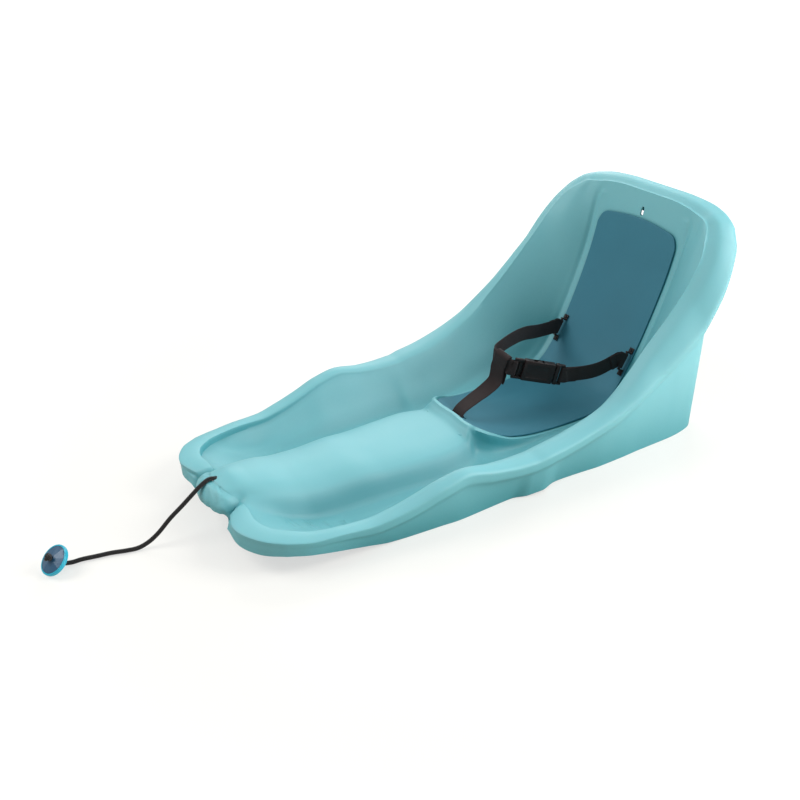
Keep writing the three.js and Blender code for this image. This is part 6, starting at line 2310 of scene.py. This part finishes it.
    def build_left(self) -> Object:
        """The rider's left waist strap, from the clip to its loop.

        Returns:
            The piece.
        """
        buckle, place = self.buckle, self.net.place
        point, lead = self._loop_start(self.left)
        reach = self._fold_radius(buckle.bar_radius)
        points = [buckle.at(buckle.clip_bar, 0, -reach), buckle.at(buckle.clip_bar + reach * 2, 0, -reach),
                  *[place(*shares) for shares in self.left_shares], lead, point]
        stations = self._stations(points, Vector((0, 0, -1)), -self.left.up, 110, 0.3, 0.95)
        places = self._fold_both(stations, buckle.bar_radius, self.waist_tail, self.left.bar_radius, self.waist_tail)
        strap = self._ribbon("waist_belt_left", places)
        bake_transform(strap, Body.CLIP.value, Body.HULL.value,
                 start=tuple(buckle.at(buckle.clip_end + self.blend_start, 0, 0)), end=tuple(lead))
        return settle(strap, Body.CLIP, Slot.WEBBING, "waist_strap_left", ride=False)

    def build_crotch(self) -> Object:
        """The crotch strap, round the waist strap and down into the slot to its bar.

        Returns:
            The piece.
        """
        up = squared(Vector((0, 0, 1)), self.heading)
        front = self.heading.cross(up)
        near = 2 * self.thickness + self.loose * 5 + FIT * 2
        far = -(self.thickness + self.loose * 3 + FIT)
        high = self.width / 2 + self.thickness + self.loose * 2

        def at(outward: float, rise: float) -> Vector:
            """A point round the sleeve."""
            return self.sleeve + front * outward + up * rise

        fold = self._fold_radius(self.crotch_bar)
        bar = self.bar_place - Vector((0, fold, 0))
        run = [self.net.place(0, *shares) for shares in self.crotch_run]
        rise = (run[-1] - run[-2]).normalized()
        under = Vector((0, rise.z, -rise.y))
        behind = [run[-1] + rise * ahead + under * (self.thickness * 2)
                  for ahead in (self.sleeve_tail, self.sleeve_tail + self.loose)]
        points = [*behind, at(far, -high * 0.78), at(far, 0), at(far, high * 0.82), at((near + far) / 2, high * 1.04),
                  at(near, high * 0.82), at(near, 0), at(near, -high * 0.62), *reversed(run),
                  bar + Vector((0, 0, HULL_WALL + self.loose * 4)), bar]
        stations = self._stations(points, self.heading, Vector((1, 0, 0)), 150, 0.5, 0.95)
        places = self._fold_back(stations, self.crotch_bar, self.crotch_tail)
        return settle(self._ribbon("crotch_belt", places), Body.HULL, Slot.WEBBING, "crotch_strap")

    def notch_tool(self) -> Object:
        """The tool for the liner's notch round the crotch strap.

        Returns:
            The closed mesh.
        """
        bm = bmesh.new()
        y, skin = self.slot.place(self.net)
        reach, width = self.slot.reach, self.slot.width
        add_block(bm, (-reach, y - width * 4, skin - HULL_WALL * 3),
                  (reach, y + width * 1.12, self.net.height / 3), Matrix.Identity(4))
        back = [e for e in bm.edges if all(v.co.y > y for v in e.verts)
                and abs(e.verts[0].co.z - e.verts[1].co.z) > 0.01]
        round_edges(bm, back, self.notch_corner, 5, clamp=False)
        return to_object(bm, "notch", LINER_FOAM)


# Camera, floor and light


@dataclass(frozen=True)
class Lamp:
    """One soft square lamp that faces the sled, its size in metres and its power in watts."""

    name: str
    place: tuple[float, float, float]
    size: float
    power: float
    aim_height: float = 0.1

    def build(self) -> None:
        """Adds the lamp to the scene."""
        data = bpy.data.lights.new(self.name, "AREA")
        data.shape, data.size, data.energy = "SQUARE", self.size, self.power
        lamp = bpy.data.objects.new(self.name, data)
        lamp.location = self.place
        aim = Vector((0, 0, self.aim_height)) - Vector(self.place)
        lamp.rotation_euler = aim.to_track_quat("-Z", "Y").to_euler()
        bpy.context.scene.collection.objects.link(lamp)


@dataclass(frozen=True)
class Floor:
    """The studio floor: pale paper near the sled, white to the camera further out."""

    size: float = 20.0
    depth: float = 0.0002
    colour: Colour = (0.75, 0.735, 0.67, 1)
    roughness: float = 0.28
    glow: float = 1.2
    near: float = 0.55
    far: float = 1.1
    near_share: float = 0.5

    def build(self) -> None:
        """Adds the floor."""
        bm = bmesh.new()
        bmesh.ops.create_grid(bm, x_segments=1, y_segments=1, size=self.size)
        sheet = ShaderSheet("floor_paper")
        path = sheet.add("LightPath")
        reach = sheet.add("VectorMath", {0: sheet.place()}, operation="LENGTH").outputs["Value"]
        far = sheet.add("MapRange", {"Value": reach, "From Min": self.near, "From Max": self.far,
                                     "To Min": self.near_share, "To Max": 1.0},
                        interpolation_type="SMOOTHSTEP").outputs[0]
        plain = sheet.add("BsdfPrincipled", {"Base Color": self.colour, "Roughness": self.roughness,
                                             "Specular IOR Level": 0.5})
        white = sheet.add("Emission", {"Color": WHITE, "Strength": self.glow})
        share = sheet.sums("MULTIPLY", path.outputs["Is Camera Ray"], far)
        mix = sheet.add("MixShader", {0: share, 1: plain.outputs[0], 2: white.outputs[0]})
        sheet.add("OutputMaterial", {"Surface": mix.outputs[0]})
        mesh = bpy.data.meshes.new("studio_floor")
        bm.to_mesh(mesh)
        bm.free()
        mesh.materials.append(sheet.material)
        floor = new_object("studio_floor", mesh)
        floor.location.z = -self.depth


@dataclass(frozen=True)
class Studio:
    """Soft lamps, the world's light and the camera at the photograph's angle."""

    azimuth: float = 57.16
    elevation: float = 29.46
    distance: float = 1.3868
    target: tuple[float, float, float] = (0.0, -0.0939, 0.1047)
    lens: float = 42.012
    sensor: float = 36.0
    world_light: float = 0.4
    lamps: tuple[Lamp, ...] = (
        Lamp("top_lamp", (1.1, 1.3, 1.5), 1.1, 30), Lamp("back_lamp", (-1.6, 1.15, 1.2), 1.6, 19),
        Lamp("side_lamp", (2.2, 1.7, 0.4), 1.2, 35), Lamp("front_lamp", (-0.9, -1.7, 1.9), 1.4, 33))

    def camera(self) -> None:
        """Sets the camera where the photograph was taken from."""
        a, e = math.radians(self.azimuth), math.radians(self.elevation)
        back = Vector((math.sin(a) * math.cos(e), -math.cos(a) * math.cos(e), math.sin(e)))
        right = Vector((math.cos(a), math.sin(a), 0))
        data = bpy.data.cameras.new("photo_camera")
        data.lens, data.sensor_width = self.lens, self.sensor
        data.clip_start, data.clip_end = 0.01, 50
        camera = bpy.data.objects.new("photo_camera", data)
        camera.matrix_world = basis(right, back.cross(right), back, Vector(self.target) + back * self.distance)
        bpy.context.scene.collection.objects.link(camera)
        bpy.context.scene.camera = camera

    def light(self) -> None:
        """Adds the lamps and the world's light, which the camera sees as white."""
        for lamp in self.lamps:
            lamp.build()
        world = bpy.data.worlds.new("studio_world")
        bpy.context.scene.world = world
        sheet = NodeSheet(world)
        path = sheet.add("LightPath")
        low, high = (sheet.add("Background", {"Color": WHITE, "Strength": strength}).outputs[0]
                     for strength in (self.world_light, 1.0))
        seen = sheet.sums("MAXIMUM", path.outputs["Is Camera Ray"], path.outputs["Is Transmission Ray"])
        mix = sheet.add("MixShader", {0: seen, 1: low, 2: high})
        sheet.add("OutputWorld", {0: mix.outputs[0]})


def main() -> None:
    """Builds the camera, every sub-assembly in order and the studio."""
    logging.basicConfig(level=logging.INFO, format="%(message)s")
    bpy.context.scene.view_settings.view_transform = "Standard"
    studio = Studio()
    studio.camera()
    net = SkinNet()
    cord = TowCord(net)
    cord.build()
    reel = Reel(cord, Vector((0, REEL_SHARE * net.half_length, 0)))
    reel.build()
    loops = [StrapLoop(net, side) for side in (1, -1)]
    drills = [matrix for loop in loops for matrix in loop.screw_frames]
    liner = SeatLiner(net)
    HullShell(net, cord, liner, reel.place).build(drills)
    buckle = Buckle(net)
    belt = Belt(net, buckle, *loops)
    liner.build(belt.notch_tool(), drills)
    for loop in loops:
        loop.build()
    buckle.build()
    belt.build()
    studio.light()
    Floor().build()


if __name__ == "__main__":
    main()
